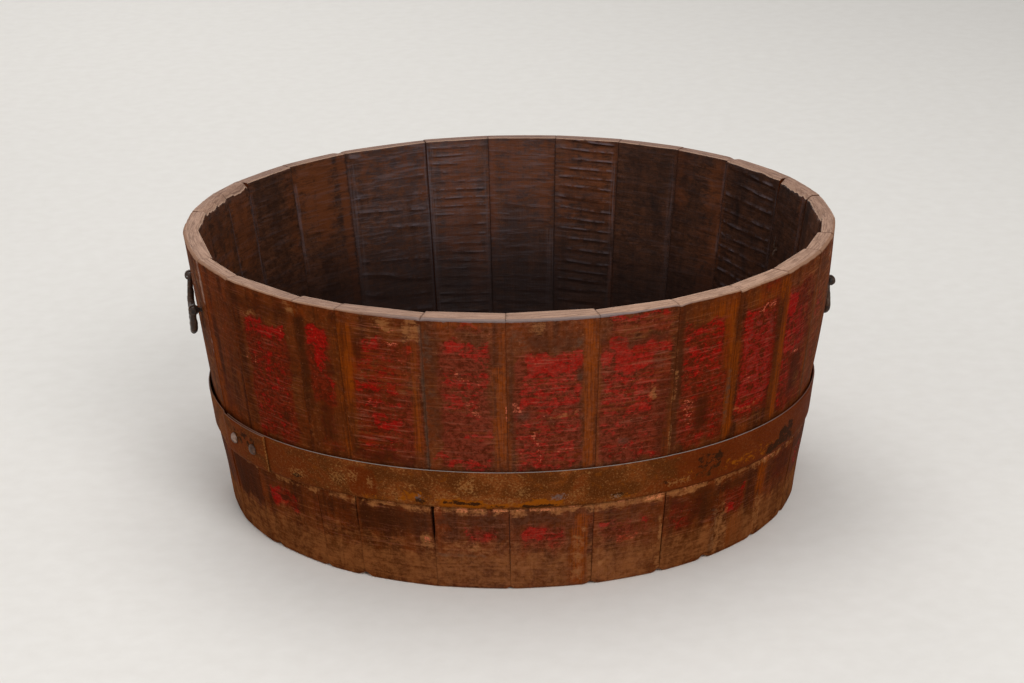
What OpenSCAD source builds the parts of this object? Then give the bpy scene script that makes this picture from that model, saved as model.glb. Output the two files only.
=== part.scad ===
// Wooden tub planter: tapered staves pegged edge to edge, one lapped and riveted iron hoop,
// a boarded floor let into a croze, and two forged bail handles in iron eyes.
// Millimetres. The origin is on the ground at the tub's centre and +Z is up. The front of the tub
// faces -Y, and angles round the wall start there and grow towards +X.

/* [Tub] */
// Outside diameter at the rim
rim_d = 740; // [700:1:800]
// Outside diameter at the foot
foot_d = 658; // [630:1:690]
// Height from the ground to the rim
tub_h = 315; // [290:1:360]
// Thickness of an average stave at the rim
rim_t = 20; // [19:0.5:25]
// Thickness of every stave at the foot
foot_t = 26; // [24:0.5:30]
// Bevel along the rim's two edges and the foot's outer edge
edge_ease = 2; // [1:0.5:4]
// Width of the V that worn stave edges leave along each joint
joint_v_w = 1.6; // [0.8:0.2:3]

/* [Floor] */
// Height of the floor's underside above the ground
floor_z = 28; // [20:1:45]
// Thickness of the floor boards
floor_t = 18; // [14:1:24]
// Height of the croze, the groove that holds the floor's edge
croze_h = 10; // [8:0.5:12]
// Wood left outside the croze
croze_skin = 17; // [14:0.5:19]
// Diameter of the dowels that join the floor boards
dowel_d = 8; // [6:0.5:10]
// Length of those dowels
dowel_l = 50; // [30:1:60]

/* [Stave pegs] */
// Diameter of the pegs between staves
peg_d = 6; // [5:0.5:7]
// Length of those pegs
peg_l = 25; // [16:1:32]
// Distance from the tub's outside to the pegs' centres
peg_in = 8.5; // [7.5:0.5:9.5]
// Height of the lower row of pegs
lower_peg_z = 85; // [70:1:100]
// Distance from the rim down to the upper row of pegs
upper_peg_drop = 36; // [26:1:42]

/* [Hoop] */
// Height of the hoop's top edge
hoop_top_z = 142; // [120:1:170]
// Width of the hoop's strap
hoop_w = 43; // [30:1:55]
// Thickness of the strap
hoop_t = 2.5; // [2:0.5:4]
// Length of the lap, along the strap
lap_l = 90; // [76:1:130]
// Angle round the wall of the lap's outer end
lap_end_at = -50; // [-54:1:-46]
// Distance between the two rivets
rivet_pitch = 42; // [34:1:48]
// Diameter of a rivet's shank
rivet_d = 7; // [5:0.5:9]
// Diameter of a rivet's hammered head
rivet_head_d = 14; // [12:0.5:18]
// Height of that head
rivet_head_h = 4; // [3:0.5:5]

/* [Handles] */
// Distance between a handle's two eyes
handle_w = 130; // [122:1:138]
// Angle round the wall of the right handle's middle
right_at = 100; // [99:1:101]
// Angle round the wall of the left handle's middle
left_at = -82; // [-83:1:-81]
// Height of the right handle's pivot
right_z = 234; // [200:1:240]
// Height of the left handle's pivot
left_z = 248; // [200:1:252]
// Drop from the right handle's pivot to the middle of its grip
right_drop = 42; // [34:1:46]
// Drop from the left handle's pivot to the middle of its grip
left_drop = 30; // [28:1:38]
// Diameter of the handle bar
bar_d = 9; // [7:0.5:10]
// Diameter of the bar's ends where they turn in the eyes
pivot_d = 6.5; // [5:0.5:7]
// Radius of the bar's lower bends, at its centre line
grip_bend = 12; // [10:0.5:16]
// Radius of the bar's upper bends, at its centre line
ear_bend = 6; // [5.5:0.5:8]
// Diameter of the knob hammered on each end
knob_d = 10.5; // [10:0.5:13]
// Length of that knob
knob_l = 5; // [4:0.5:7]
// Least gap between the wall and the hanging bar or its eyes
bar_gap = 0.5; // [0.5:0.5:4]

/* [Split-pin eyes] */
// Width of the iron round the eye's hole
eye_rim = 2.8; // [2:0.2:3.2]
// Thickness of the eye, along the pivot
eye_t = 5; // [4:0.5:7]
// Play between the pivot and its hole
eye_play = 0.3; // [0.2:0.05:0.6]
// Play beside the eye, between the bend and the knob
side_play = 0.8; // [0.4:0.1:1.5]
// Diameter of the pin's two legs together, through the stave
shank_d = 5.8; // [5:0.2:7]
// Length of each leg's tip, clenched up or down on the inside of the stave
clench_l = 12; // [8:1:18]

/* [Hidden] */
// Each stave in turn, from the joint at first_joint and on round: its share of the turn,
// and its thickness at the rim, as a share of the average one's.
STAVES = [
    [12.8, 0.85], [17.7, 0.85], [14.1, 0.85], [13.4, 1], [8.6, 0.95], [12.1, 1.05], [11.8, 1.05],
    [18.5, 1.2], [12, 0.95], [17.1, 1.05], [8.5, 1.1], [14.9, 1.2], [13.7, 1.3], [15.1, 1.35],
    [13.9, 1.2], [12.6, 1.2], [12.7, 1.1], [13.3, 1.05], [10.5, 0.95], [9.6, 0.9], [14.4, 1],
    [12.7, 1], [17, 1.1], [12.6, 0.9], [13.4, 0.9], [13.3, 0.9], [13.7, 0.85]];
first_joint = -176;
// Widths of the floor boards, as shares of the floor's diameter, from the front to the back.
BOARDS = [0.9, 1.15, 1.05, 1, 1.2, 0.95];

fit = 0.15;          // clearance round a peg, dowel or shank in its hole
board_fit = 0.3;     // clearance at the floor's edge and between its boards
tongue_play = 2;     // how much of the floor's thinned edge shows inside the staves
floor_bevel = 12;    // width of the bevel beside that edge
dowel_place = 0.42;  // a floor dowel's distance from the middle, as a share of the floor's radius
dowel_lift = 1;      // height of the floor dowels above the middle of the croze
hoop_fit = 0.15;     // clearance between the hoop and the staves
lap_fit = 0.2;       // clearance between the two layers of the lap
weld = 0.05;         // angle by which parts of one strap run into each other
v_off = 0.03;        // angle from a joint to the bottom of either stave's side of its V
joggle_steps = 4;    // steps by which the strap climbs on to itself at the lap
joggle_l = 16;       // length of that climb, along the strap
knob_neck = 2;       // how much narrower a knob is where it meets the bar
knob_tip = 4;        // and how much narrower it is at its far end
leg_gap = 0.4;       // gap between the two legs of a split pin
leg_step = 0.06;     // how much thinner a leg is beside its bend than in it
through = 1;         // how far a cutter runs past the face it opens
round_fn = 96;       // facets drawn on a large round
small_fn = 32;       // facets drawn on a small one

stave_count = len(STAVES);
share_sum = sum_to([for (s = STAVES) s[0]], stave_count);
board_count = len(BOARDS);
rim_r = rim_d / 2;
foot_r = foot_d / 2;
upper_peg_z = tub_h - upper_peg_drop;
rim_in_t = rim_t * max([for (s = STAVES) s[1]]);
core_rim_r = rim_r - rim_in_t - 2 * through;     // inside every hewn face at the rim
core_foot_r = foot_r - foot_t - 2 * through;     // and at the foot
croze_r = outside_r(floor_z) - croze_skin;
floor_r = croze_r - board_fit;
tongue_in_r = inside_foot_r(floor_z + croze_h) - tongue_play;  // where the floor's thinned edge starts
board_sum = sum_to(BOARDS, board_count);
taper = atan((rim_r - foot_r) / tub_h);
hoop_mid_z = hoop_top_z - hoop_w / 2;
hoop_mid_r = outside_r(hoop_mid_z) + hoop_fit;
deg_per_mm = 180 / (PI * hoop_mid_r);                // along the strap
lap_start_at = lap_end_at - lap_l * deg_per_mm;
layer = hoop_t + lap_fit;                            // from one layer of the lap to the next
joggle_at = lap_start_at - (joggle_l + layer) * deg_per_mm;
rivet_at = [for (s = [-1, 1]) (lap_start_at + lap_end_at + s * rivet_pitch * deg_per_mm) / 2];
eye_r = pivot_d / 2 + eye_play + eye_rim;
leg_x = handle_w / 2 - eye_t / 2 - side_play - ear_bend;
knob_x = handle_w / 2 + eye_t / 2 + side_play;
leg_d = (shank_d - leg_gap) / 2;                     // thickness of one leg of a split pin
leg_z = (leg_d + leg_gap) / 2;                       // and its distance from the pin's middle
clench_bend = 2.4;                                   // radius of the leg's bend, at its centre line

// Sum of the first n values of a list
function sum_to(list, n) = n <= 0 ? 0 : list[n - 1] + sum_to(list, n - 1);
// Outside radius of the tub at height z
function outside_r(z) = foot_r + (rim_r - foot_r) * z / tub_h;
// Inside radius at height z of a stave that is no thicker than its foot
function inside_foot_r(z) = foot_r - foot_t + (rim_r - rim_in_t - foot_r + foot_t) * z / tub_h;
// Width in degrees of stave i, and the angle of the joint before it
function stave_angle(i) = 360 * STAVES[i][0] / share_sum;
function joint_at(i) = first_joint + 360 * sum_to([for (s = STAVES) s[0]], i) / share_sum;
function stave_name(i) = str("stave_", i < 9 ? "0" : "", i + 1);
function board_name(i) = str("floor_board_", i + 1);
// Distance from the front edge of the floor to the joint before board i
function board_y(i) = 2 * floor_r * sum_to(BOARDS, i) / board_sum - floor_r;
// Distance from the axis, along a handle's middle line, to the outside x beside that line
function wall_y(z, x) = sqrt(pow(outside_r(z), 2) - pow(x, 2));
// Distance from the axis, along a handle's middle line, to its pivot line. The hanging bar clears
// the wall behind its legs and its grip, and the eyes' rings clear it too.
function pivot_y(z, drop) = bar_gap + max(
    max(wall_y(z, leg_x), wall_y(z - drop, 0)) + bar_d / 2,
    wall_y(z, (handle_w - eye_t) / 2) + eye_r);
// Distance from the axis to stave i's hewn face at height z, square to that face
function hewn_r(i, z) = foot_r - foot_t + (rim_r - rim_t * STAVES[i][1] - foot_r + foot_t) * z / tub_h;
function middle_of(i) = joint_at(i) + stave_angle(i) / 2;
// The stave that stands at an angle of the wall
function stave_of(a) = max([for (i = [0:stave_count - 1]) if (joint_at(i) <= a) i]);
// Distance from the axis, along a handle's middle line, to the hewn face x beside that line
function hewn_y(at, z, x) =
    let (i = stave_of(at + asin(x / outside_r(z))), b = middle_of(i) - at)
    (hewn_r(i, z) - x * sin(b)) / cos(b);
// Slope of that face
function hewn_slope(at, z, x) =
    let (i = stave_of(at + asin(x / outside_r(z)))) atan((hewn_r(i, tub_h) - hewn_r(i, 0)) / tub_h);

// ---- staves ----

// Turns what is drawn facing the front round to an angle of the wall
module at_angle(a) rotate([0, 0, a]) children();

// A sector of the tub's outer form, thick enough for any stave
module wall_sector(from, turn) {
    rotate_extrude(angle = turn, start = from - 90, $fn = round_fn * 2)
        polygon([[core_foot_r, 0], [foot_r - edge_ease, 0], [outside_r(edge_ease), edge_ease],
            [outside_r(tub_h - edge_ease), tub_h - edge_ease], [rim_r - edge_ease, tub_h],
            [core_rim_r, tub_h]]);
}

// Everything on the tub's side of stave i's flat, hewn inner face
module hewn_side(i) {
    face_rim = hewn_r(i, tub_h);
    face_foot = hewn_r(i, 0);
    slope = (face_rim - face_foot) / tub_h;
    ease_z = tub_h - edge_ease;
    at_angle(middle_of(i))
        rotate([90, 0, 90])
            linear_extrude(rim_r, center = true)
                polygon([[0, -through], [-face_foot + slope * through, -through],
                    [-face_foot - slope * ease_z, ease_z],
                    [-face_rim - edge_ease - through, tub_h + through], [0, tub_h + through]]);
}

// The V along the outside of the joint before stave i, its bottom moved off the joint by an angle
module joint_v(i, off) {
    side = joint_v_w / sqrt(2);
    at_angle(joint_at(i) + off) translate([0, -foot_r, 0]) rotate([taper, 0, 0])
        translate([0, 0, tub_h / 2]) rotate([0, 0, 45]) cube([side, side, 2 * tub_h], center = true);
}

// The pegs, or with play their holes, at one height of the joint before stave i
module peg(i, z, play = 0) {
    at_angle(joint_at(i)) translate([0, peg_in - outside_r(z), z]) rotate([0, 90, 0])
        cylinder(d = peg_d + 2 * play, h = peg_l + 2 * play, center = true, $fn = small_fn);
}

// The holes through the wall for one handle's two eyes
module eye_holes(at, z) {
    for (s = [-1, 1]) at_angle(at) translate([s * handle_w / 2, rim_in_t - outside_r(z), z])
        rotate([90, 0, 0]) cylinder(d = shank_d + 2 * fit, h = 4 * rim_in_t, center = true, $fn = small_fn);
}

module stave(i) {
    color("saddlebrown") difference() {
        wall_sector(joint_at(i), stave_angle(i));
        hewn_side(i);
        translate([0, 0, floor_z]) cylinder(r = croze_r, h = croze_h, $fn = round_fn * 2);
        joint_v(i, -v_off);
        joint_v(i + 1, v_off);
        for (j = [i, i + 1], z = [lower_peg_z, upper_peg_z]) peg(j, z, fit);
        eye_holes(left_at, left_z);
        eye_holes(right_at, right_z);
    }
}

module peg_row(z) {
    color("burlywood") for (i = [0:stave_count - 1]) peg(i, z);
}

// ---- floor ----

// The whole floor, with its edge thinned to a tongue for the croze
module floor_disc() {
    tongue_z = floor_z + croze_h - board_fit;
    rotate_extrude($fn = round_fn * 2)
        polygon([[0, floor_z], [floor_r, floor_z], [floor_r, tongue_z], [tongue_in_r, tongue_z],
            [tongue_in_r - floor_bevel, floor_z + floor_t], [0, floor_z + floor_t]]);
}

// The two dowels, or with play their holes, in the joint before board i
module board_dowels(i, play = 0) {
    for (s = [-1, 1]) translate([s * floor_r * dowel_place, board_y(i), floor_z + croze_h / 2 + dowel_lift])
        rotate([90, 0, 0])
            cylinder(d = dowel_d + 2 * play, h = dowel_l + 2 * play, center = true, $fn = small_fn);
}

module floor_board(i) {
    width = board_y(i + 1) - board_y(i) - board_fit;
    color("peru") difference() {
        intersection() {
            floor_disc();
            translate([-rim_r, board_y(i) + board_fit / 2, 0]) cube([rim_d, width, tub_h]);
        }
        for (j = [i, i + 1]) if (j > 0 && j < board_count) board_dowels(j, fit);
    }
}

module floor_dowels() {
    color("burlywood") for (i = [1:board_count - 1]) board_dowels(i);
}

// ---- hoop ----

// Part of the strap, from one angle on by a turn, lifted off the staves
module strap(from, turn, lift = 0) {
    low = hoop_top_z - hoop_w;
    face_low = outside_r(low) + hoop_fit + lift;
    face_top = outside_r(hoop_top_z) + hoop_fit + lift;
    rotate_extrude(angle = turn, start = from - 90, $fn = round_fn * 2)
        polygon([[face_low, low], [face_low + hoop_t, low],
            [face_top + hoop_t, hoop_top_z], [face_top, hoop_top_z]]);
}

// A rivet's place: on the hoop's slanted outside, its axis square to the strap
module at_rivet(a) {
    at_angle(a) translate([0, -hoop_mid_r, hoop_mid_z]) rotate([90 + taper, 0, 0]) children();
}

module hoop() {
    joggle_turn = joggle_l * deg_per_mm / joggle_steps;
    joggle_end = joggle_at + joggle_steps * joggle_turn;
    color("dimgray") difference() {
        union() {
            strap(lap_start_at, 360 + joggle_at - lap_start_at + weld);
            for (k = [1:joggle_steps])
                strap(joggle_at + (k - 1) * joggle_turn, joggle_turn + weld, layer * k / joggle_steps);
            strap(joggle_end, lap_end_at - joggle_end, layer);
        }
        for (a = rivet_at) at_rivet(a)
            cylinder(d = rivet_d + 2 * fit, h = 4 * layer, center = true, $fn = small_fn);
    }
}

module hoop_rivets() {
    grip = hoop_t + layer;
    seat = fit * 2;                                  // the flat head clears the round of the strap
    ball_r = (pow(rivet_head_d / 2, 2) + pow(rivet_head_h, 2)) / (2 * rivet_head_h);
    color("gray") for (a = rivet_at) at_rivet(a) {
        cylinder(d = rivet_d, h = grip + seat + rivet_head_h / 2, $fn = small_fn);
        translate([0, 0, grip + seat]) intersection() {
            translate([0, 0, rivet_head_h - ball_r]) sphere(ball_r, $fn = small_fn * 2);
            cylinder(d = rivet_head_d + 1, h = rivet_head_h + 1, $fn = small_fn);
        }
    }
}

// ---- handles ----

// A bend of round bar, starting along +X from the origin and turning up by an angle
module bend(r, d, turn = 90) {
    translate([0, 0, r]) rotate([90, 0, 0]) rotate_extrude(angle = turn, start = -90, $fn = round_fn)
        translate([r, 0]) circle(d = d, $fn = small_fn);
}

// One leg of a split pin along +X, straight for a length, then clenched up by an angle.
// The straight length and the tip run a little way into the bend.
module split_leg(straight, turn) {
    root = leg_d / 4;
    rotate([0, 90, 0]) cylinder(d = leg_d - leg_step, h = straight + root, $fn = small_fn);
    translate([straight, 0, 0]) {
        bend(clench_bend, leg_d, turn);
        translate([clench_bend * sin(turn), 0, clench_bend * (1 - cos(turn))]) rotate([0, 90 - turn, 0])
            translate([0, 0, -root])
                cylinder(d1 = leg_d - leg_step, d2 = leg_d / 2, h = clench_l + root, $fn = small_fn);
    }
}

// A split-pin eye: a flat ring for the pivot, and two legs through the stave, clenched inside
module eye(at, z, drop, side) {
    x = side * handle_w / 2;
    pin_y = pivot_y(z, drop);
    hole_r = pivot_d / 2 + eye_play;
    slope = hewn_slope(at, z, x);
    leg_y = pin_y - hole_r - eye_rim / 2;            // where the legs leave the ring's iron
    bend_y = hewn_y(at, z, x) - leg_d / 2 - board_fit + clench_bend;      // and where they bend
    sink = (leg_z + clench_bend) * tan(slope);       // the lower leg stands off a sloped wall more
    color("slategray") at_angle(at) translate([x, 0, z]) {
        translate([0, -pin_y, 0]) rotate([0, 90, 0]) difference() {
            cylinder(r = eye_r, h = eye_t, center = true, $fn = small_fn * 2);
            cylinder(r = hole_r, h = 2 * eye_t, center = true, $fn = small_fn);
        }
        translate([0, -leg_y, leg_z]) rotate([0, 0, 90]) split_leg(leg_y - bend_y, 90 + slope);
        mirror([0, 0, 1]) translate([0, -leg_y, leg_z]) rotate([0, 0, 90])
            split_leg(leg_y - bend_y + sink, 90 - slope);
    }
}

// A bail hanging plumb: grip, legs, ears turned out through the eyes, and their hammered knobs
module bail(at, z, drop) {
    leg_low = grip_bend - drop;
    leg_high = -ear_bend;
    grip_x = leg_x - grip_bend;
    color("dimgray") at_angle(at) translate([0, -pivot_y(z, drop), z]) {
        translate([-grip_x, 0, -drop]) rotate([0, 90, 0])
            cylinder(d = bar_d, h = 2 * grip_x, $fn = small_fn);
        for (s = [0, 1]) mirror([s, 0, 0]) {
            translate([grip_x, 0, -drop]) bend(grip_bend, bar_d);
            translate([leg_x, 0, leg_low])
                cylinder(d1 = bar_d, d2 = pivot_d, h = leg_high - leg_low, $fn = small_fn);
            translate([leg_x + ear_bend, 0, 0]) rotate([0, 180, 0]) bend(ear_bend, pivot_d);
            translate([leg_x + ear_bend, 0, 0]) rotate([0, 90, 0])
                cylinder(d = pivot_d, h = knob_x - leg_x - ear_bend, $fn = small_fn);
            translate([knob_x, 0, 0]) rotate([0, 90, 0]) {
                cylinder(d1 = knob_d - knob_neck, d2 = knob_d, h = knob_l / 2, $fn = small_fn);
                translate([0, 0, knob_l / 2])
                    cylinder(d1 = knob_d, d2 = knob_d - knob_tip, h = knob_l / 2, $fn = small_fn);
            }
        }
    }
}

// ---- the pieces ----

for (i = [0:stave_count - 1]) stave(i);
for (i = [0:board_count - 1]) floor_board(i);
floor_dowels();
peg_row(lower_peg_z);  // lower_pegs
peg_row(upper_peg_z);  // upper_pegs
hoop();
hoop_rivets();
eye(left_at, left_z, left_drop, 1);  // left_front_eye
eye(left_at, left_z, left_drop, -1);  // left_back_eye
eye(right_at, right_z, right_drop, -1);  // right_front_eye
eye(right_at, right_z, right_drop, 1);  // right_back_eye
bail(left_at, left_z, left_drop);  // left_bail
bail(right_at, right_z, right_drop);  // right_bail
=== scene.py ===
import math

import bmesh
import bpy
import numpy as np
from mathutils import Matrix, Vector


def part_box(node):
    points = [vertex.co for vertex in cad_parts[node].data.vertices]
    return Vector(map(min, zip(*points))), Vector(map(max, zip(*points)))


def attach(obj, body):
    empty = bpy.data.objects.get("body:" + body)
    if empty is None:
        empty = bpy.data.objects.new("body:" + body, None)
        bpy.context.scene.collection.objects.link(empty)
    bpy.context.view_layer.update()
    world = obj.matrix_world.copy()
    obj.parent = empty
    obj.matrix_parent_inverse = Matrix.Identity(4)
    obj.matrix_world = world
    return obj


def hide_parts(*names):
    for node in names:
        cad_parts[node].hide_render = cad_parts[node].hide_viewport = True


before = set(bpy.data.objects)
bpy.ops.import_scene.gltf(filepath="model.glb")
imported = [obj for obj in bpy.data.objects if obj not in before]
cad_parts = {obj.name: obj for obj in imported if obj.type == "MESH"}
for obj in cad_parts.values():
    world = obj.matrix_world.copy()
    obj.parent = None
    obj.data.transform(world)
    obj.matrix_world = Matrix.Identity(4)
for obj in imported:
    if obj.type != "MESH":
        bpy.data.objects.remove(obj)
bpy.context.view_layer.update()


cameraSetup = {  # the photograph's camera
    "place": (0.0, -2.947, 1.182),
    "pitchDown": 0.3322,  # radians below the horizon
    "turn": 0.0004,
    "roll": -0.016,
    "lens": 94.92,  # mm on a 36 mm sensor
}


def makeCamera(setup):
    pitch, turn, roll = setup["pitchDown"], setup["turn"], setup["roll"]
    ahead = Vector((math.sin(turn) * math.cos(pitch), math.cos(turn) * math.cos(pitch), -math.sin(pitch)))
    level = Vector((math.cos(turn), -math.sin(turn), 0))
    above = level.cross(ahead)
    right = level * math.cos(roll) + above * math.sin(roll)
    up = above * math.cos(roll) - level * math.sin(roll)
    data = bpy.data.cameras.new("photoCamera")
    data.lens, data.sensor_width = setup["lens"], 36
    data.clip_start, data.clip_end = 0.1, 50
    camera = bpy.data.objects.new("photoCamera", data)
    axes = Matrix((right, up, -ahead)).transposed()
    camera.matrix_world = Matrix.Translation(setup["place"]) @ axes.to_4x4()
    bpy.context.collection.objects.link(camera)
    bpy.context.scene.camera = camera


makeCamera(cameraSetup)
print("camera placed")


def tint(red, green, blue):  # a colour as a screen shows it, 0 to 255
    linear = [c / 255 / 12.92 if c <= 10 else ((c / 255 + 0.055) / 1.055) ** 2.4 for c in (red, green, blue)]
    return (*linear, 1.0)


def palette(**colours):
    return {name: tint(*colour) for name, colour in colours.items()}


# node trees are written with values, which are outputs of nodes that add and multiply like numbers

class Value:
    def __init__(self, socket):
        self.socket = socket

    def __add__(self, other):
        return calc("ADD", self, other)

    def __sub__(self, other):
        return calc("SUBTRACT", self, other)

    def __rsub__(self, other):
        return calc("SUBTRACT", other, self)

    def __mul__(self, other):
        return calc("MULTIPLY", self, other)

    def __truediv__(self, other):
        return calc("DIVIDE", self, other)

    def __rtruediv__(self, other):
        return calc("DIVIDE", other, self)

    def __neg__(self):
        return self * -1

    __radd__, __rmul__ = __add__, __mul__

    def step(self, low, high, start=0.0, end=1.0):  # a smooth step from start to end
        inputs = {"Value": self, "From Min": low, "From Max": high, "To Min": start, "To Max": end}
        return firstOf(treeOf(self), "ShaderNodeMapRange", inputs, interpolation_type="SMOOTHSTEP")


def treeOf(*values):
    return next(value.socket.id_data for value in values if isinstance(value, Value))


def feed(socket, value):
    if isinstance(value, Value):
        socket.id_data.links.new(value.socket, socket)
    else:
        socket.default_value = value


def addNode(tree, kind, inputs=(), **settings):
    node = tree.nodes.new(kind)
    for label, setting in settings.items():
        setattr(node, label, setting)
    for label, value in dict(inputs).items():
        feed(node.inputs[label], value)
    return node


def firstOf(tree, kind, inputs=(), **settings):  # a new node's first output
    return Value(addNode(tree, kind, inputs, **settings).outputs[0])


def calc(operation, *values, clamp=False):
    return firstOf(treeOf(*values), "ShaderNodeMath", enumerate(values), operation=operation, use_clamp=clamp)


def split(vector):
    return [Value(part) for part in addNode(treeOf(vector), "ShaderNodeSeparateXYZ", {0: vector}).outputs]


def join(x, y, z):
    return firstOf(treeOf(x, y, z), "ShaderNodeCombineXYZ", {0: x, 1: y, 2: z})


def noise(vector, size, detail=3.0, rough=0.5, seed=0.0, bend=0.0):  # three sizes stretch it along x, y and z
    tree = treeOf(vector)
    if isinstance(size, tuple):
        vector, size = firstOf(tree, "ShaderNodeVectorMath", {0: vector, 1: size}, operation="MULTIPLY"), 1
    inputs = {"Vector": vector, "W": seed, "Scale": size, "Detail": detail, "Roughness": rough,
              "Distortion": bend}
    return firstOf(tree, "ShaderNodeTexNoise", inputs, noise_dimensions="4D")


def newTree(name, kind, inputs, outputs):  # a socket is given by its start or, where it has none, its kind
    tree = bpy.data.node_groups.new(name, kind)
    for direction, sockets in (("INPUT", inputs), ("OUTPUT", outputs)):
        for label, start in sockets.items():
            bare = isinstance(start, str)
            form = "NodeSocket" + (start if bare else type(start).__name__.capitalize())
            socket = tree.interface.new_socket(label, in_out=direction, socket_type=form)
            if not bare:
                socket.default_value = start
    given = {socket.name: Value(socket) for socket in tree.nodes.new("NodeGroupInput").outputs}
    return tree, given, tree.nodes.new("NodeGroupOutput").inputs


def keep(mesh, name, value, kind="FLOAT", domain="POINT"):
    inputs = {"Geometry": mesh, "Name": name, "Value": value}
    return firstOf(treeOf(mesh), "GeometryNodeStoreNamedAttribute", inputs, data_type=kind, domain=domain)


def paint(mesh, finish, chosen=True):
    inputs = {"Geometry": mesh, "Selection": chosen, "Material": finish}
    return firstOf(treeOf(mesh), "GeometryNodeSetMaterial", inputs)


def move(mesh, **where):
    return firstOf(treeOf(mesh), "GeometryNodeSetPosition", {"Geometry": mesh, **where})


def press(mesh, inset):  # along each point's normal
    tree = treeOf(mesh)
    inputs = {0: firstOf(tree, "GeometryNodeInputNormal"), "Scale": inset}
    return move(mesh, Offset=firstOf(tree, "ShaderNodeVectorMath", inputs, operation="SCALE"))


def complete(mesh, finish):  # smooth, real and of one material
    tree = treeOf(mesh)
    smoothed = firstOf(tree, "GeometryNodeSetShadeSmooth", {"Geometry": mesh})
    return paint(firstOf(tree, "GeometryNodeRealizeInstances", {0: smoothed}), finish)


def roundAxis(angle, radius, z):
    return join(calc("SINE", angle) * radius, calc("COSINE", angle) * radius * -1, z)


def makeBlank(tree, shape):  # a box of points, and each point's place in it from 0 to 1
    counts = {"Vertices X": shape["columns"], "Vertices Y": shape["layers"], "Vertices Z": shape["rows"]}
    places = split(firstOf(tree, "GeometryNodeInputPosition"))
    return firstOf(tree, "GeometryNodeMeshCube", counts), *[place + 0.5 for place in places]


def grow(name, tree, values, blank=None, before=()):  # runs modifiers, then a tree, and keeps the mesh
    piece = bpy.data.objects.new(name, blank or bpy.data.meshes.new(name + "Blank"))
    bpy.context.collection.objects.link(piece)
    for kind, settings in before:
        modifier = piece.modifiers.new(kind, kind)
        for label, setting in settings.items():
            setattr(modifier, label, setting)
    modifier = piece.modifiers.new("grow", "NODES")
    modifier.node_group = tree
    sockets = {item.name: item.identifier for item in tree.interface.items_tree if item.in_out == "INPUT"}
    for label, value in values.items():
        modifier[sockets[label]] = value
    mesh = bpy.data.meshes.new_from_object(piece.evaluated_get(bpy.context.evaluated_depsgraph_get()))
    piece.modifiers.clear()
    piece.data, mesh.name = mesh, name
    return piece


def standIn(piece, node, body):
    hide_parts(node)
    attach(piece, body)


def vectorsOf(data, label):
    values = np.zeros(len(data) * 3, np.float32)
    data.foreach_get(label, values)
    return values.reshape(-1, 3).astype(float)


def pointsOf(mesh):
    return vectorsOf(mesh.vertices, "co")


def wallOf(mesh):  # arc, height and depth from the outside, of each point
    return vectorsOf(mesh.attributes["wall"].data, "vector")


def placePoints(mesh, points):
    mesh.vertices.foreach_set("co", points.astype(np.float32).ravel())
    mesh.update()


def keepValues(mesh, name, values):
    mesh.attributes.new(name, "FLOAT", "POINT").data.foreach_set("value", np.asarray(values, np.float32))


def smooth(value, low, high):
    share = np.clip((value - low) / (high - low), 0, 1)
    return share * share * (3 - 2 * share)


# shader groups that several finishes share

def makeGrain():  # wood grain up the wall: long streaks and short fibres
    tree, given, out = newTree("woodGrain", "ShaderNodeTree", {"Wall": "Vector", "Seed": 0.0},
                               {"Streak": "Float", "Fibre": "Float"})
    feed(out["Streak"], noise(given["Wall"], (60, 3.2, 60), 4, 0.6, given["Seed"], 0.5))
    feed(out["Fibre"], noise(given["Wall"], (460, 24, 460), 3, 0.65, given["Seed"]))
    return tree


def makeSawMarks():  # scratches across the grain, broken where a slow noise is low
    tree, given, out = newTree("sawMarks", "ShaderNodeTree", {"Wall": "Vector", "Amount": 0.5, "Seed": 0.0},
                               {"Mask": "Float", "Height": "Float"})
    slow = noise(given["Wall"], (26, 34, 26), 2, 0.5, given["Seed"])
    lines = noise(given["Wall"], (15, 420, 15), 4, 0.62, given["Seed"], 0.35)
    level = given["Amount"] * -0.26 + 0.7
    feed(out["Mask"], (lines + slow * 0.4 - 0.2).step(level, level + 0.07))
    feed(out["Height"], lines)
    return tree


def makeGrime():  # darkening that gathers beside an edge and thins away from it
    tree, given, out = newTree("edgeGrime", "ShaderNodeTree", {
        "Wall": "Vector", "Distance": 0.0, "Reach": 0.004, "Seed": 0.0,
    }, {"Mask": "Float"})
    uneven = noise(given["Wall"], (160, 30, 160), 4, 0.6, given["Seed"])
    reach = given["Reach"] * (uneven * 3.6 - 0.9)
    feed(out["Mask"], calc("EXPONENT", -(given["Distance"] / calc("MAXIMUM", reach, 0.0002))))
    return tree


def makeRagged():  # a soft listed value broken up by a noise, with a crisp or a soft edge
    tree, given, out = newTree("raggedMark", "ShaderNodeTree", {
        "Value": 0.0, "Noise": 0.5, "Amount": 2.0, "Softness": 0.2,
    }, {"Mask": "Float"})
    value, soft = given["Value"], given["Softness"]
    broken = value + (given["Noise"] - 0.5) * given["Amount"]
    feed(out["Mask"], broken.step(0.5 - soft, 0.5 + soft) * value.step(0.02, 0.12))
    return tree


grainGroup, sawGroup, grimeGroup, raggedGroup = makeGrain(), makeSawMarks(), makeGrime(), makeRagged()


def useGroup(group, **inputs):
    node = addNode(treeOf(*inputs.values()), "ShaderNodeGroup", inputs, node_tree=group)
    return [Value(output) for output in node.outputs]


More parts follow.
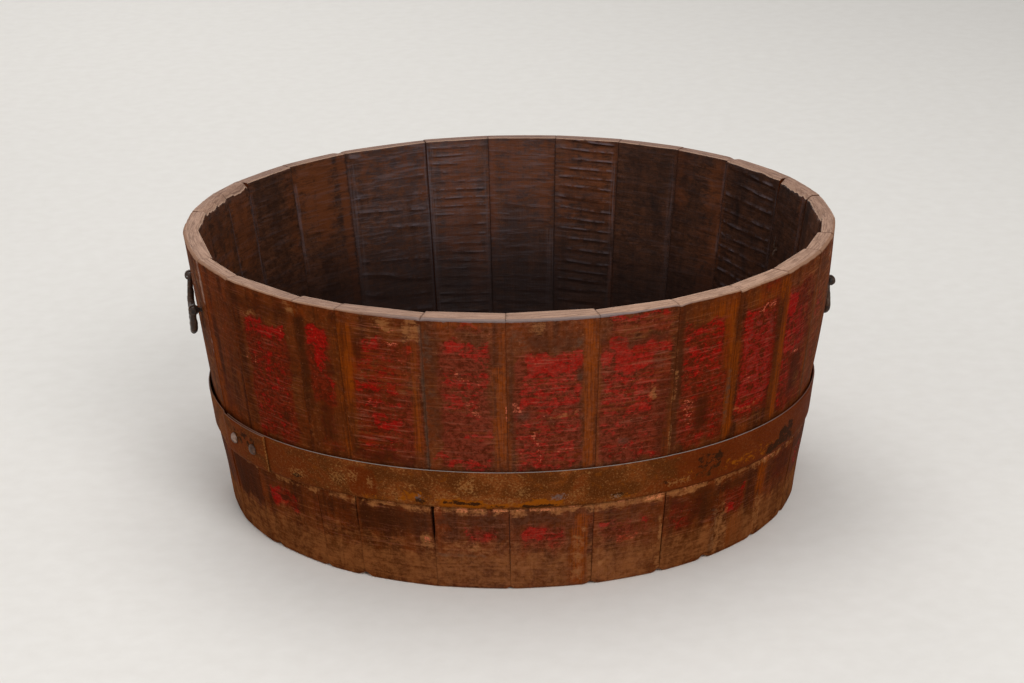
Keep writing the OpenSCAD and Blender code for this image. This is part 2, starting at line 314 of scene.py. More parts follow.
class Finish:  # a material that is built up in coats over one tone
    def __init__(self, name, tones, specular, metallic=0.0):
        self.material = bpy.data.materials.new(name)
        self.material.use_nodes = True
        self.tree, self.tones = self.material.node_tree, tones
        self.shader = self.tree.nodes["Principled BSDF"].inputs
        self.shader["Specular IOR Level"].default_value = specular
        self.shader["Metallic"].default_value = metallic

    def read(self, name, kind="Fac"):  # an attribute of the piece
        return Value(addNode(self.tree, "ShaderNodeAttribute", attribute_name=name).outputs[kind])

    def mark(self, name, broken, amount, softness, share=1.0):  # an attribute broken up by a noise
        inputs = {"Value": self.read(name), "Noise": broken, "Amount": amount, "Softness": softness}
        return useGroup(raggedGroup, **inputs)[0] * share

    def grime(self, wall, reach, seed):
        return useGroup(grimeGroup, Wall=wall, Distance=self.read("fromJoint"), Reach=reach, Seed=seed)[0]

    def objectPlace(self):
        return Value(addNode(self.tree, "ShaderNodeTexCoord").outputs["Object"])

    def blend(self, share, under, over):
        under, over = (self.tones[tone] if isinstance(tone, str) else tone for tone in (under, over))
        inputs = {0: share, 6: under, 7: over}
        return Value(addNode(self.tree, "ShaderNodeMix", inputs, data_type="RGBA").outputs[2])

    def coat(self, tone, *layers):
        for share, over in layers:
            tone = self.blend(share, tone, over)
        return tone

    def complete(self, tone, rough, height, relief, strength=0.8):  # relief: the bumps' depth in metres
        feed(self.shader["Base Color"], tone)
        feed(self.shader["Roughness"], rough)
        inputs = {"Strength": strength, "Distance": relief, "Height": height}
        feed(self.shader["Normal"], firstOf(self.tree, "ShaderNodeBump", inputs))
        return self.material


staveTones = palette(
    brown=(95, 43, 14), umber=(60, 26, 9), rusty=(112, 44, 9), oldRed=(106, 29, 11), stainRed=(74, 22, 7),
    red=(150, 12, 7), deepRed=(117, 17, 9), scuffed=(158, 92, 70), pinkish=(196, 98, 70),
    ochre=(132, 58, 6), deepOchre=(92, 38, 7), dark=(56, 25, 9), tan=(150, 96, 54), dusty=(138, 83, 44),
    deepDust=(84, 43, 17), grey=(78, 61, 48), silver=(158, 124, 108), haze=(146, 98, 78), soot=(24, 11, 5),
    wornLip=(206, 122, 80), chamfer=(118, 104, 102), bare=(138, 100, 76),
)


def makePaintedFinish():
    wood = Finish("wornPaintedStave", staveTones, 0.003)
    read, mark, blend = wood.read, wood.mark, wood.blend
    wall, seed, scratched = read("wall", "Vector"), read("staveSeed"), read("scratched")
    streak, fibre = useGroup(grainGroup, Wall=wall, Seed=seed)
    sawn, sawHeight = useGroup(sawGroup, Wall=wall, Amount=scratched, Seed=seed)
    blotch = noise(wall, (40, 30, 40), 6, 0.66, seed, 0.6)
    flake = noise(wall, (80, 130, 80), 6, 0.74, seed, 0.5)
    mottle = noise(wall, (170, 210, 170), 5, 0.76, seed, 0.4)
    streaks = noise(wall, (24, 430, 24), 5, 0.74, seed, 0.2)
    speck = noise(wall, (320, 400, 320), 4, 0.74, seed, 0.3)
    both = flake * 0.4 + blotch * 0.35 + mottle * 0.25
    scraps = flake * 0.6 + mottle * 0.18 + streaks * 0.22
    patchy = blotch * 0.3 + flake * 0.3 + mottle * 0.2 + streaks * 0.2
    fleck = speck * 0.5 + streaks * 0.3 + mottle * 0.2

    tone = wood.coat(  # bare wood: brown with darker streaks, rusty stains, pale scratches and pits
        blend(streak.step(0.36, 0.64), "umber", "brown"),
        (blotch.step(0.46, 0.64) * 0.6, "rusty"),
        (flake.step(0.5, 0.66) * 0.5, "umber"),
        (mottle.step(0.53, 0.64) * 0.26, "dusty"),
        (mottle.step(0.47, 0.36) * 0.4, "umber"),
        (sawn * 0.34, "dusty"))
    stain = mark("red", both, 4.0, 0.28, 0.9)
    unscratched = calc("MULTIPLY_ADD", sawn, -0.5, 1.0, clamp=True)
    bright = mark("bright", scraps, 4.8, 0.15, 0.92) * unscratched
    tone = wood.coat(  # the old paint: a stain in the grain, then brighter scraps
        tone,
        (stain, blend(mottle.step(0.42, 0.58), "stainRed", "oldRed")),
        (sawn * stain * 0.5, "rusty"),
        (bright, blend(speck.step(0.4, 0.6), "deepRed", "red")),
        (streaks.step(0.52, 0.64) * (scratched * 0.4 + 0.08), "scuffed"),
        (streaks.step(0.47, 0.36) * (scratched * 0.4 + 0.1), "umber"),
        (speck.step(0.55, 0.66) * 0.14, "scuffed"))
    strip = mark("ochre", streak * 0.4 + blotch * 0.3 + flake * 0.3, 4.6, 0.5, 0.84)
    stripTone = blend(fibre.step(0.38, 0.62), "deepOchre", "ochre")
    dust = mark("dust", patchy, 3.8, 0.45, 0.85) * (strip * -0.9 + 1.0)
    tone = wood.coat(  # bare strips, stains, dust, scuffs and the worn edges
        tone,
        (strip, blend(flake.step(0.52, 0.64) * 0.55, stripTone, "umber")),
        (mark("dark", both, 3.8, 0.42, 0.75), "dark"),
        # dust at the foot, and a painted sheen on the grazing sides
        (dust, blend(patchy.step(0.4, 0.6), "deepDust", "dusty")),
        (mark("tan", scraps, 8.5, 0.5, 0.62), "tan"),
        (mark("grey", scraps, 4.6, 0.4, 0.5), "grey"),
        # the ledge and the lips under the hoop: worn, and lighter as a painted highlight where they face up
        # out of the hoop's shadow
        (mark("ledge", scraps, 7.0, 0.4, 0.85), blend(speck.step(0.42, 0.6), "dusty", "tan")),
        (mark("worn", fleck, 7.0, 0.35, 0.9), blend(speck.step(0.42, 0.54), "tan", "wornLip")),
        ((read("pink") * 0.19 + fleck).step(0.655, 0.7) * 0.85, "pinkish"),
        (speck.step(0.64, 0.7) * 0.55, "tan"),
        (fibre.step(0.56, 0.7) * 0.3, "umber"),
        # a painted sheen laid over the outer wall where it faces the view
        (read("haze") * mottle.step(0.4, 0.6, 0.03, 0.13), "haze"),
        # a painted sheen near the outlines of the sides
        (mark("silver", scraps, 4.0, 0.4, 0.8), "silver"),
        (wood.grime(wall, 0.0006, seed) * 0.2, "soot"),
        (mark("rimWear", scraps, 2.6, 0.2, 0.85), blend(read("greyed"), "bare", "chamfer")))
    rough = fibre * 0.24 + 0.38 + bright * -0.06 + dust * 0.2
    height = fibre * 0.4 + streak * 0.5 + sawHeight * 0.5 + bright * 0.2 + streaks * 0.4 + mottle * 0.5
    return wood.complete(tone, rough, height, 0.0013)


innerTones = palette(
    brown=(94, 55, 34), dark=(50, 28, 17), black=(25, 16, 14), warm=(101, 53, 26), film=(112, 100, 104),
)


def makeInnerFinish():
    wood = Finish("hewnInsideStave", innerTones, 0.1)
    read, mark = wood.read, wood.mark
    wall, seed, haze = read("wall", "Vector"), read("staveSeed"), read("haze")
    streak, fibre = useGroup(grainGroup, Wall=wall, Seed=seed)
    blotch = noise(wall, (34, 24, 34), 6, 0.66, seed, 0.5)
    flake = noise(wall, (70, 150, 70), 6, 0.74, seed, 0.5)
    mottle = noise(wall, (170, 130, 170), 5, 0.74, seed, 0.3)
    lines = noise(wall, (24, 290, 24), 4, 0.66, seed, 0.25)
    broken = noise(wall, (60, 90, 60), 4, 0.66, seed, 0.2)
    both = flake * 0.4 + blotch * 0.35 + mottle * 0.25

    # each bite of the adze ends in a pale lip, a painted highlight, with a painted shade line under it
    bite = calc("FRACT", read("bite"))
    strength = read("bitten") * broken.step(0.42, 0.58)
    lip = bite.step(0.72, 0.95) * strength * 0.62
    # darker towards the bottom inside: partly painted shade of the deep hollow
    low = (read("depth") + blotch * 0.6).step(0.3, 1.15)
    tone = wood.coat(
        wood.blend(both.step(0.42, 0.57), "dark", "brown"),
        (streak.step(0.46, 0.62) * 0.5, "dark"),
        (mottle.step(0.52, 0.62) * 0.4, "black"),
        (mark("warm", streak * 0.5 + flake * 0.5, 4.6, 0.45, 0.85), "warm"),
        (lines.step(0.53, 0.66) * 0.5, "dark"),
        # pale grain lines and a veil of the film tone: painted sheen on the inner back wall that faces the
        # view
        (lines.step(0.49, 0.36) * (haze * 0.2 + 0.1), "film"),
        (haze * flake.step(0.42, 0.58, 0.16, 0.04), "film"),
        (bite.step(0.4, 0.04) * strength * 0.55, "black"),
        (lip, "film"),
        (read("film") * fibre.step(0.4, 0.6) * 0.5, "film"),
        # black: painted shade towards the bottom and on the inner side walls
        (calc("MAXIMUM", low * 0.85, mark("sooty", blotch, 2.0, 0.5)), "black"),
        (wood.grime(wall, 0.001, seed) * 0.6, "black"))
    height = fibre * 0.35 + flake * 0.4 + lines * -0.6 + lip * 0.3
    return wood.complete(tone, flake * 0.4 + 0.24, height, 0.0012, 0.7)


rimTones = palette(
    tan=(184, 147, 124), brown=(140, 108, 88), dark=(72, 50, 40), light=(208, 172, 146),
    weathered=(104, 78, 70), chamfer=(118, 104, 102), bare=(138, 100, 76),
)


def makeRimFinish():
    wood = Finish("sawnRimStave", rimTones, 0.08)
    read = wood.read
    wall, seed = read("wall", "Vector"), read("staveSeed")
    rings = noise(wall, (30, 1, 620), 5, 0.66, seed, 0.8)
    blotch = noise(wall, (60, 60, 140), 5, 0.66, seed, 0.4)
    fine = noise(wall, (420, 420, 900), 4, 0.7, seed)
    cracks = noise(wall, (110, 40, 560), 3, 0.6, seed, 0.9)
    inside = (read("fromIn") + rings * 0.002).step(0.0028, 0.0014)
    outside = (read("fromOut") + rings * 0.003).step(0.004, 0.0024)
    tone = wood.coat(
        wood.blend(rings.step(0.36, 0.6), "brown", "tan"),
        (blotch.step(0.5, 0.66) * 0.6, "brown"),
        (fine.step(0.55, 0.68) * 0.35, "dark"),
        # darker rim by angle, as rimShades gives
        (read("rimShade") * rings.step(0.34, 0.6, 1.0, 0.6), "weathered"),
        # lighter along both edges of the rim: partly worn, partly a painted highlight
        (calc("MAXIMUM", inside, outside) * 0.5, "light"),
        (cracks.step(0.62, 0.67) * 0.75, "dark"),
        (wood.mark("rimWear", rings, 1.2, 0.2, 0.85), wood.blend(read("greyed"), "bare", "chamfer")),
        (wood.grime(wall, 0.0008, seed) * 0.65, "dark"))
    return wood.complete(tone, blotch * 0.25 + 0.55, rings + fine * 0.3 + cracks * -0.6, 0.0008)


paintedFinish, innerFinish, rimFinish = makePaintedFinish(), makeInnerFinish(), makeRimFinish()
print("wood finishes made")


unrollRadius = 0.35  # angles become arcs on this radius

staveShape = {
    "columns": 40,  # points across a stave
    "layers": 10,  # points through it
    "rows": 210,  # points up it
    "flatness": 0.35,  # how far the outside is flattened, from round to straight
    "gap": 0.00012,  # between two staves
    "rimEase": 0.0006,
    "jointEase": 0.0004,
    "footEase": 0.001,
    "margin": 0.006,  # the strip beside a joint that the adze leaves alone
}


def makeStaveTree(shape):
    tree, given, out = newTree("staveBlank", "GeometryNodeTree", {
        "From": 0.0, "Turn": 0.2, "Foot Radius": 0.329, "Rim Radius": 0.37, "Height": 0.315,
        "Foot Inside": 0.303, "Rim Inside": 0.35, "Inset": 0.0, "Adze Depth": 0.0006, "Adze Step": 0.012,
        "Bevel": 0.001, "Chamfer": 0.001, "Seed": 0.0, "Painted": "Material", "Inner": "Material",
        "Rim": "Material",
    }, {"Mesh": "Geometry"})
    turn, seed, height = given["Turn"], given["Seed"], given["Height"]
    mesh, x, y, z = makeBlank(tree, shape)
    normal = split(firstOf(tree, "GeometryNodeInputNormal"))
    mesh = keep(keep(mesh, "facing", normal[1], domain="FACE"), "topping", normal[2], domain="FACE")

    def crowd(place, share):  # crowds the points towards both ends
        return place - calc("SINE", place * (2 * math.pi)) * (share / (2 * math.pi))

    def fall(distance, reach):  # 1 at an edge, fading with distance from it
        return calc("EXPONENT", -distance / reach)

    across, through, up = crowd(x, 0.8), crowd(y, 0.8), crowd(z, 0.35)
    half = turn * 0.5
    fromMiddle = (across - 0.5) * turn * (1.0 - shape["gap"] / (turn * unrollRadius))
    angle = given["From"] + half + fromMiddle
    cosAt = calc("COSINE", fromMiddle)
    curve = (given["Rim Radius"] - given["Foot Radius"]) * up + given["Foot Radius"]
    chord = curve * (calc("COSINE", half) / cosAt)
    outer = curve * (1 - shape["flatness"]) + chord * shape["flatness"] - given["Inset"]
    inner = ((given["Rim Inside"] - given["Foot Inside"]) * up + given["Foot Inside"]) / cosAt

    # distances to the edges, in metres
    arc = angle * unrollRadius
    toJoint = calc("MINIMUM", across, 1.0 - across) * turn * unrollRadius
    toOut, toIn = through * (outer - inner), (1.0 - through) * (outer - inner)
    z = up * height
    toTop = height - z

    # worn, rounded edges
    eases, outEdge, inEdge = [], [], []
    for distance, name in ((toTop, "rimEase"), (toJoint, "jointEase"), (z, "footEase")):
        eases.append(fall(distance, shape[name]) * (0.7 * shape[name]))
        outEdge.append(fall(toOut, shape[name]))
        inEdge.append(fall(toIn, shape[name]))
    outWorn = sum(ease * near for ease, near in zip(eases, outEdge))
    inWorn = sum(ease * near for ease, near in zip(eases, inEdge))
    topWorn = eases[0] * (outEdge[0] + inEdge[0]) + eases[1] * fall(toTop, shape["rimEase"])
    uneven = noise(join(arc, 0, 0), 55, 3, 0.6, seed).step(0.3, 0.66, 0.5, 1.6)
    for size, distance in ((given["Bevel"], toIn), (given["Chamfer"], toOut)):  # worn slopes along the rim
        depth = size * uneven
        share = calc("SUBTRACT", 1.0, distance / depth, clamp=True)
        topWorn = topWorn + share * depth * 0.8 * fall(toTop, depth)
    footWorn = eases[2] * (outEdge[2] + inEdge[2])

    # the adze's bites inside, a little aslant, and the unevenness of both faces
    unrolled = join(arc, z, toOut)
    waver = noise(unrolled, (3.5, 15, 3.5), 3, 0.5, seed)
    phase = 60 - z / given["Adze Step"] + waver * 2.0 + arc * 4.0
    bite = calc("FRACT", phase)
    patches = noise(unrolled, (16, 24, 16), 2, 0.5, seed)
    bitten = toJoint.step(0.5 * shape["margin"], 1.4 * shape["margin"]) * patches.step(0.36, 0.56)
    hollow = (1.0 - bite) * bite.step(0.0, 0.22) * bitten
    swell = noise(unrolled, (12, 5, 12), 3, 0.5, seed)
    hewnIn = (swell * 0.0022 + hollow * given["Adze Depth"]) * through
    dent = (1.0 - through) * swell * 0.0012
    radius = outer * (1.0 - through) + inner * through + hewnIn + inWorn - outWorn - dent

    mesh = keep(mesh, "wall", unrolled, "FLOAT_VECTOR")
    shown = bitten * given["Adze Depth"].step(0.0002, 0.0008)
    for name, value in (("fromJoint", toJoint), ("fromIn", toIn), ("fromOut", toOut), ("bite", phase),
                        ("bitten", shown)):
        mesh = keep(mesh, name, value)
    mesh = complete(move(mesh, Position=roundAxis(angle, radius, z + footWorn - topWorn)), given["Painted"])
    facing, topping = (firstOf(tree, "GeometryNodeInputNamedAttribute", {0: name}, data_type="FLOAT")
                       for name in ("facing", "topping"))
    mesh = paint(mesh, given["Inner"], calc("GREATER_THAN", facing, 0.5))
    feed(out["Mesh"], paint(mesh, given["Rim"], calc("GREATER_THAN", calc("ABSOLUTE", topping), 0.5)))
    return tree


def staveFacts(node):  # where a stave stands, read from its solid
    points = pointsOf(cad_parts[node].data)
    middle = math.atan2(points[:, 0].mean(), -points[:, 1].mean())
    ahead = points @ np.array([math.sin(middle), -math.cos(middle), 0])
    aside = points @ np.array([math.cos(middle), math.sin(middle), 0])
    angles = middle + np.arctan2(aside, ahead)
    height = points[:, 2].max()
    low, high = points[:, 2] < 1e-4, points[:, 2] > height - 0.0025
    radii = np.hypot(points[:, 0], points[:, 1])
    centre = (angles.max() + angles.min()) / 2
    inward = points @ np.array([math.sin(centre), -math.cos(centre), 0])
    return {"From": angles.min(), "Turn": angles.max() - angles.min(), "Height": height,
            "Rim Radius": radii.max(), "Foot Radius": radii[low].max() + 0.001,
            "Foot Inside": inward[low].min(), "Rim Inside": inward[high].min()}


# what sets single staves apart, in metres: the adze's depth and step inside, slopes worn along the rim
adzeMarks = {26: (0.0010, 0.0125), 27: (0.0004, 0.017), 1: (0.0007, 0.011), 2: (0.0007, 0.021),
             25: (0.0003, 0.03), 23: (0.0008, 0.016), 3: (0.0003, 0.034), 4: (0.0003, 0.04)}
plainAdze = (0.0003, 0.036)
innerBevels = {5: 0.0065, 6: 0.007, 7: 0.003, 21: 0.0045, 22: 0.006, 23: 0.002}
plainBevel = 0.0005
outerChamfers = {7: 0.0018, 8: 0.002, 9: 0.0017, 10: 0.0012, 11: 0.0009, 15: 0.001, 16: 0.001, 17: 0.0016,
                 18: 0.002, 19: 0.0022, 20: 0.0018}
plainChamfer = 0.0008
rimThickening = {12: 0.001, 13: 0.003, 14: 0.003, 15: 0.001, 17: 0.003, 18: 0.004, 19: 0.003}  # inwards
rimShades = [  # angle, and how much darker the sawn rim is: lightest at the front right, darkest behind
    (-180, 1.0), (-125, 0.8), (-95, 0.25), (-60, 0.2), (-42, 0.5), (-28, 0.5), (-12, 0.25), (8, 0.15),
    (22, 0.0), (52, 0.05), (80, 0.3), (110, 0.5), (140, 0.8), (180, 1.0),
]
# where the photograph's right outline swells
bulge = {"at": 80, "width": 9, "low": 142, "most": 3.2, "steeper": 1.6}
# below the hoop the staves stand proud: heights, and depth from the outside, in millimetres
shoulder = {"top": 99.2, "round": 6.5, "start": 36, "full": 90, "deep": 8, "most": 2.3}
staveWear = {  # in metres, but in degrees or millimetres where a note says so
    "footLift": 0.0018,  # by which a foot stands off the ground at most
    "footTilt": 0.0012,
    "evenTo": 66,  # degrees to either side where the photograph's foot is nearly even
    "evenShare": 0.2,
    "rimDrop": 0.0012,  # by which a stave is sawn short at most
    "evenRim": (-70, 24),  # degrees between which the photograph's rim is even
    "evenDrop": 0.0001,
    "footFade": 18,  # millimetres up the stave, in which the foot's and the rim's change fade out
    "rimFade": 20,
    "gapReach": 3.5,  # millimetres beside an opened joint
    "insideFrom": 12,  # millimetres from the outside, past which a lost corner is an inner one
}
perDegree = {"gap": 6.1, "mark": 6.2, "chip": 6.3}  # millimetres that one degree takes along the wall
gaps = [  # a joint that has opened: angle, lowest and highest millimetre, width in millimetres
    (-14.6, 58, 99, 3.4), (-29.4, 60, 98, 1.0), (28.2, 6, 92, 0.9), (39.6, 0, 36, 1.2),
    (-37.9, 40, 92, 0.4), (-0.8, 20, 95, 0.4), (14.3, 5, 92, 0.4), (52.8, 10, 88, 0.6),
]
chips = [  # a lost corner: angle, height and depth from the outside in millimetres, size, loss
    (28.4, 315, 2, 4.5, 1.6), (41.6, 315, 3, 5, 1.8), (38.9, 0, 2, 6, 3.4), (53.2, 0, 2, 5, 2.2),
    (-29.4, 0, 1, 6, 3.2), (-0.8, 0, 1, 3, 1.6), (14.3, 0, 1, 5, 2.4), (90.0, 315, 24, 8, 2.5),
    (-14.6, 315, 1, 3, 1.2), (28.2, 0, 1, 5, 2.6), (-52.5, 0, 2, 5, 2.2), (66.5, 0, 2, 5, 2.6),
    (-109.4, 315, 22, 7, 2.2), (-38, 0, 1, 4, 2.0), (131, 315, 2, 5, 1.6), (-145, 315, 3, 5, 1.5),
]


def turned(degrees, at):  # how far away an angle lies, the shorter way round
    return (degrees - at + 180) % 360 - 180


def wearStave(mesh, number, facts):  # opened joints, lost corners and the uneven foot
    points, wall = pointsOf(mesh), wallOf(mesh)
    radius = np.hypot(points[:, 0], points[:, 1])
    middle = facts["From"] + facts["Turn"] / 2
    middleDegrees, top = math.degrees(middle), facts["Height"] * 1000
    angle = np.arctan2(points[:, 0], -points[:, 1])
    angle = middle + (angle - middle + math.pi) % (2 * math.pi) - math.pi
    degrees, up, deep = np.degrees(angle), wall[:, 1] * 1000, wall[:, 2] * 1000
    for at, low, high, width in gaps:
        beside = np.abs(turned(degrees, at)) * perDegree["gap"]  # millimetres from the joint
        taper = smooth(up, low - 6, low + 14) * (1 - smooth(up, high - 3, high + 4))
        side = np.sign(middleDegrees - at)
        angle += side * np.exp(-(beside / staveWear["gapReach"]) ** 2) * taper * width / 2000 / radius
    for at, high, inwards, size, loss in chips:
        away = np.abs(turned(degrees, at)) * perDegree["chip"]
        distance = np.sqrt(away ** 2 + (up - high) ** 2 + (deep - inwards) ** 2)
        lost = loss / 1000 * np.exp(-(distance / size) ** 2)
        points[:, 2] += lost * (1 if high == 0 else -1)
        radius -= lost * 0.5 * (1 if inwards < staveWear["insideFrom"] else -1)
    rng = np.random.default_rng(number)
    lift, tilt = rng.uniform(0.0, staveWear["footLift"]), rng.uniform(-1, 1) * staveWear["footTilt"]
    lift = lift + tilt * (angle - middle) / max(facts["Turn"], 0.1)
    lift *= staveWear["evenShare"] if abs(middleDegrees) < staveWear["evenTo"] else 1.0
    points[:, 2] += np.clip(lift, 0, None) * np.exp(-up / staveWear["footFade"])
    start, end = staveWear["evenRim"]
    drop = rng.uniform(0, staveWear["evenDrop" if start < middleDegrees < end else "rimDrop"])
    points[:, 2] -= drop * np.exp(-(top - up) / staveWear["rimFade"])
    swell = np.sin(np.pi * np.clip((up - bulge["low"]) / (top - bulge["low"]), 0, 1))
    away = turned(degrees, bulge["at"]) / bulge["width"]
    radius += bulge["most"] / 1000 * swell * np.exp(-away ** 2 * np.where(away > 0, bulge["steeper"], 1))
    proud = smooth(-up, -shoulder["top"], shoulder["round"] - shoulder["top"])
    proud *= smooth(up, shoulder["start"], shoulder["full"]) * (1 - smooth(deep, 0, shoulder["deep"]))
    radius += shoulder["most"] / 1000 * rng.uniform(0.65, 1.0) * proud
    points[:, 0], points[:, 1] = radius * np.sin(angle), -radius * np.cos(angle)
    placePoints(mesh, points)
    return degrees, up, deep
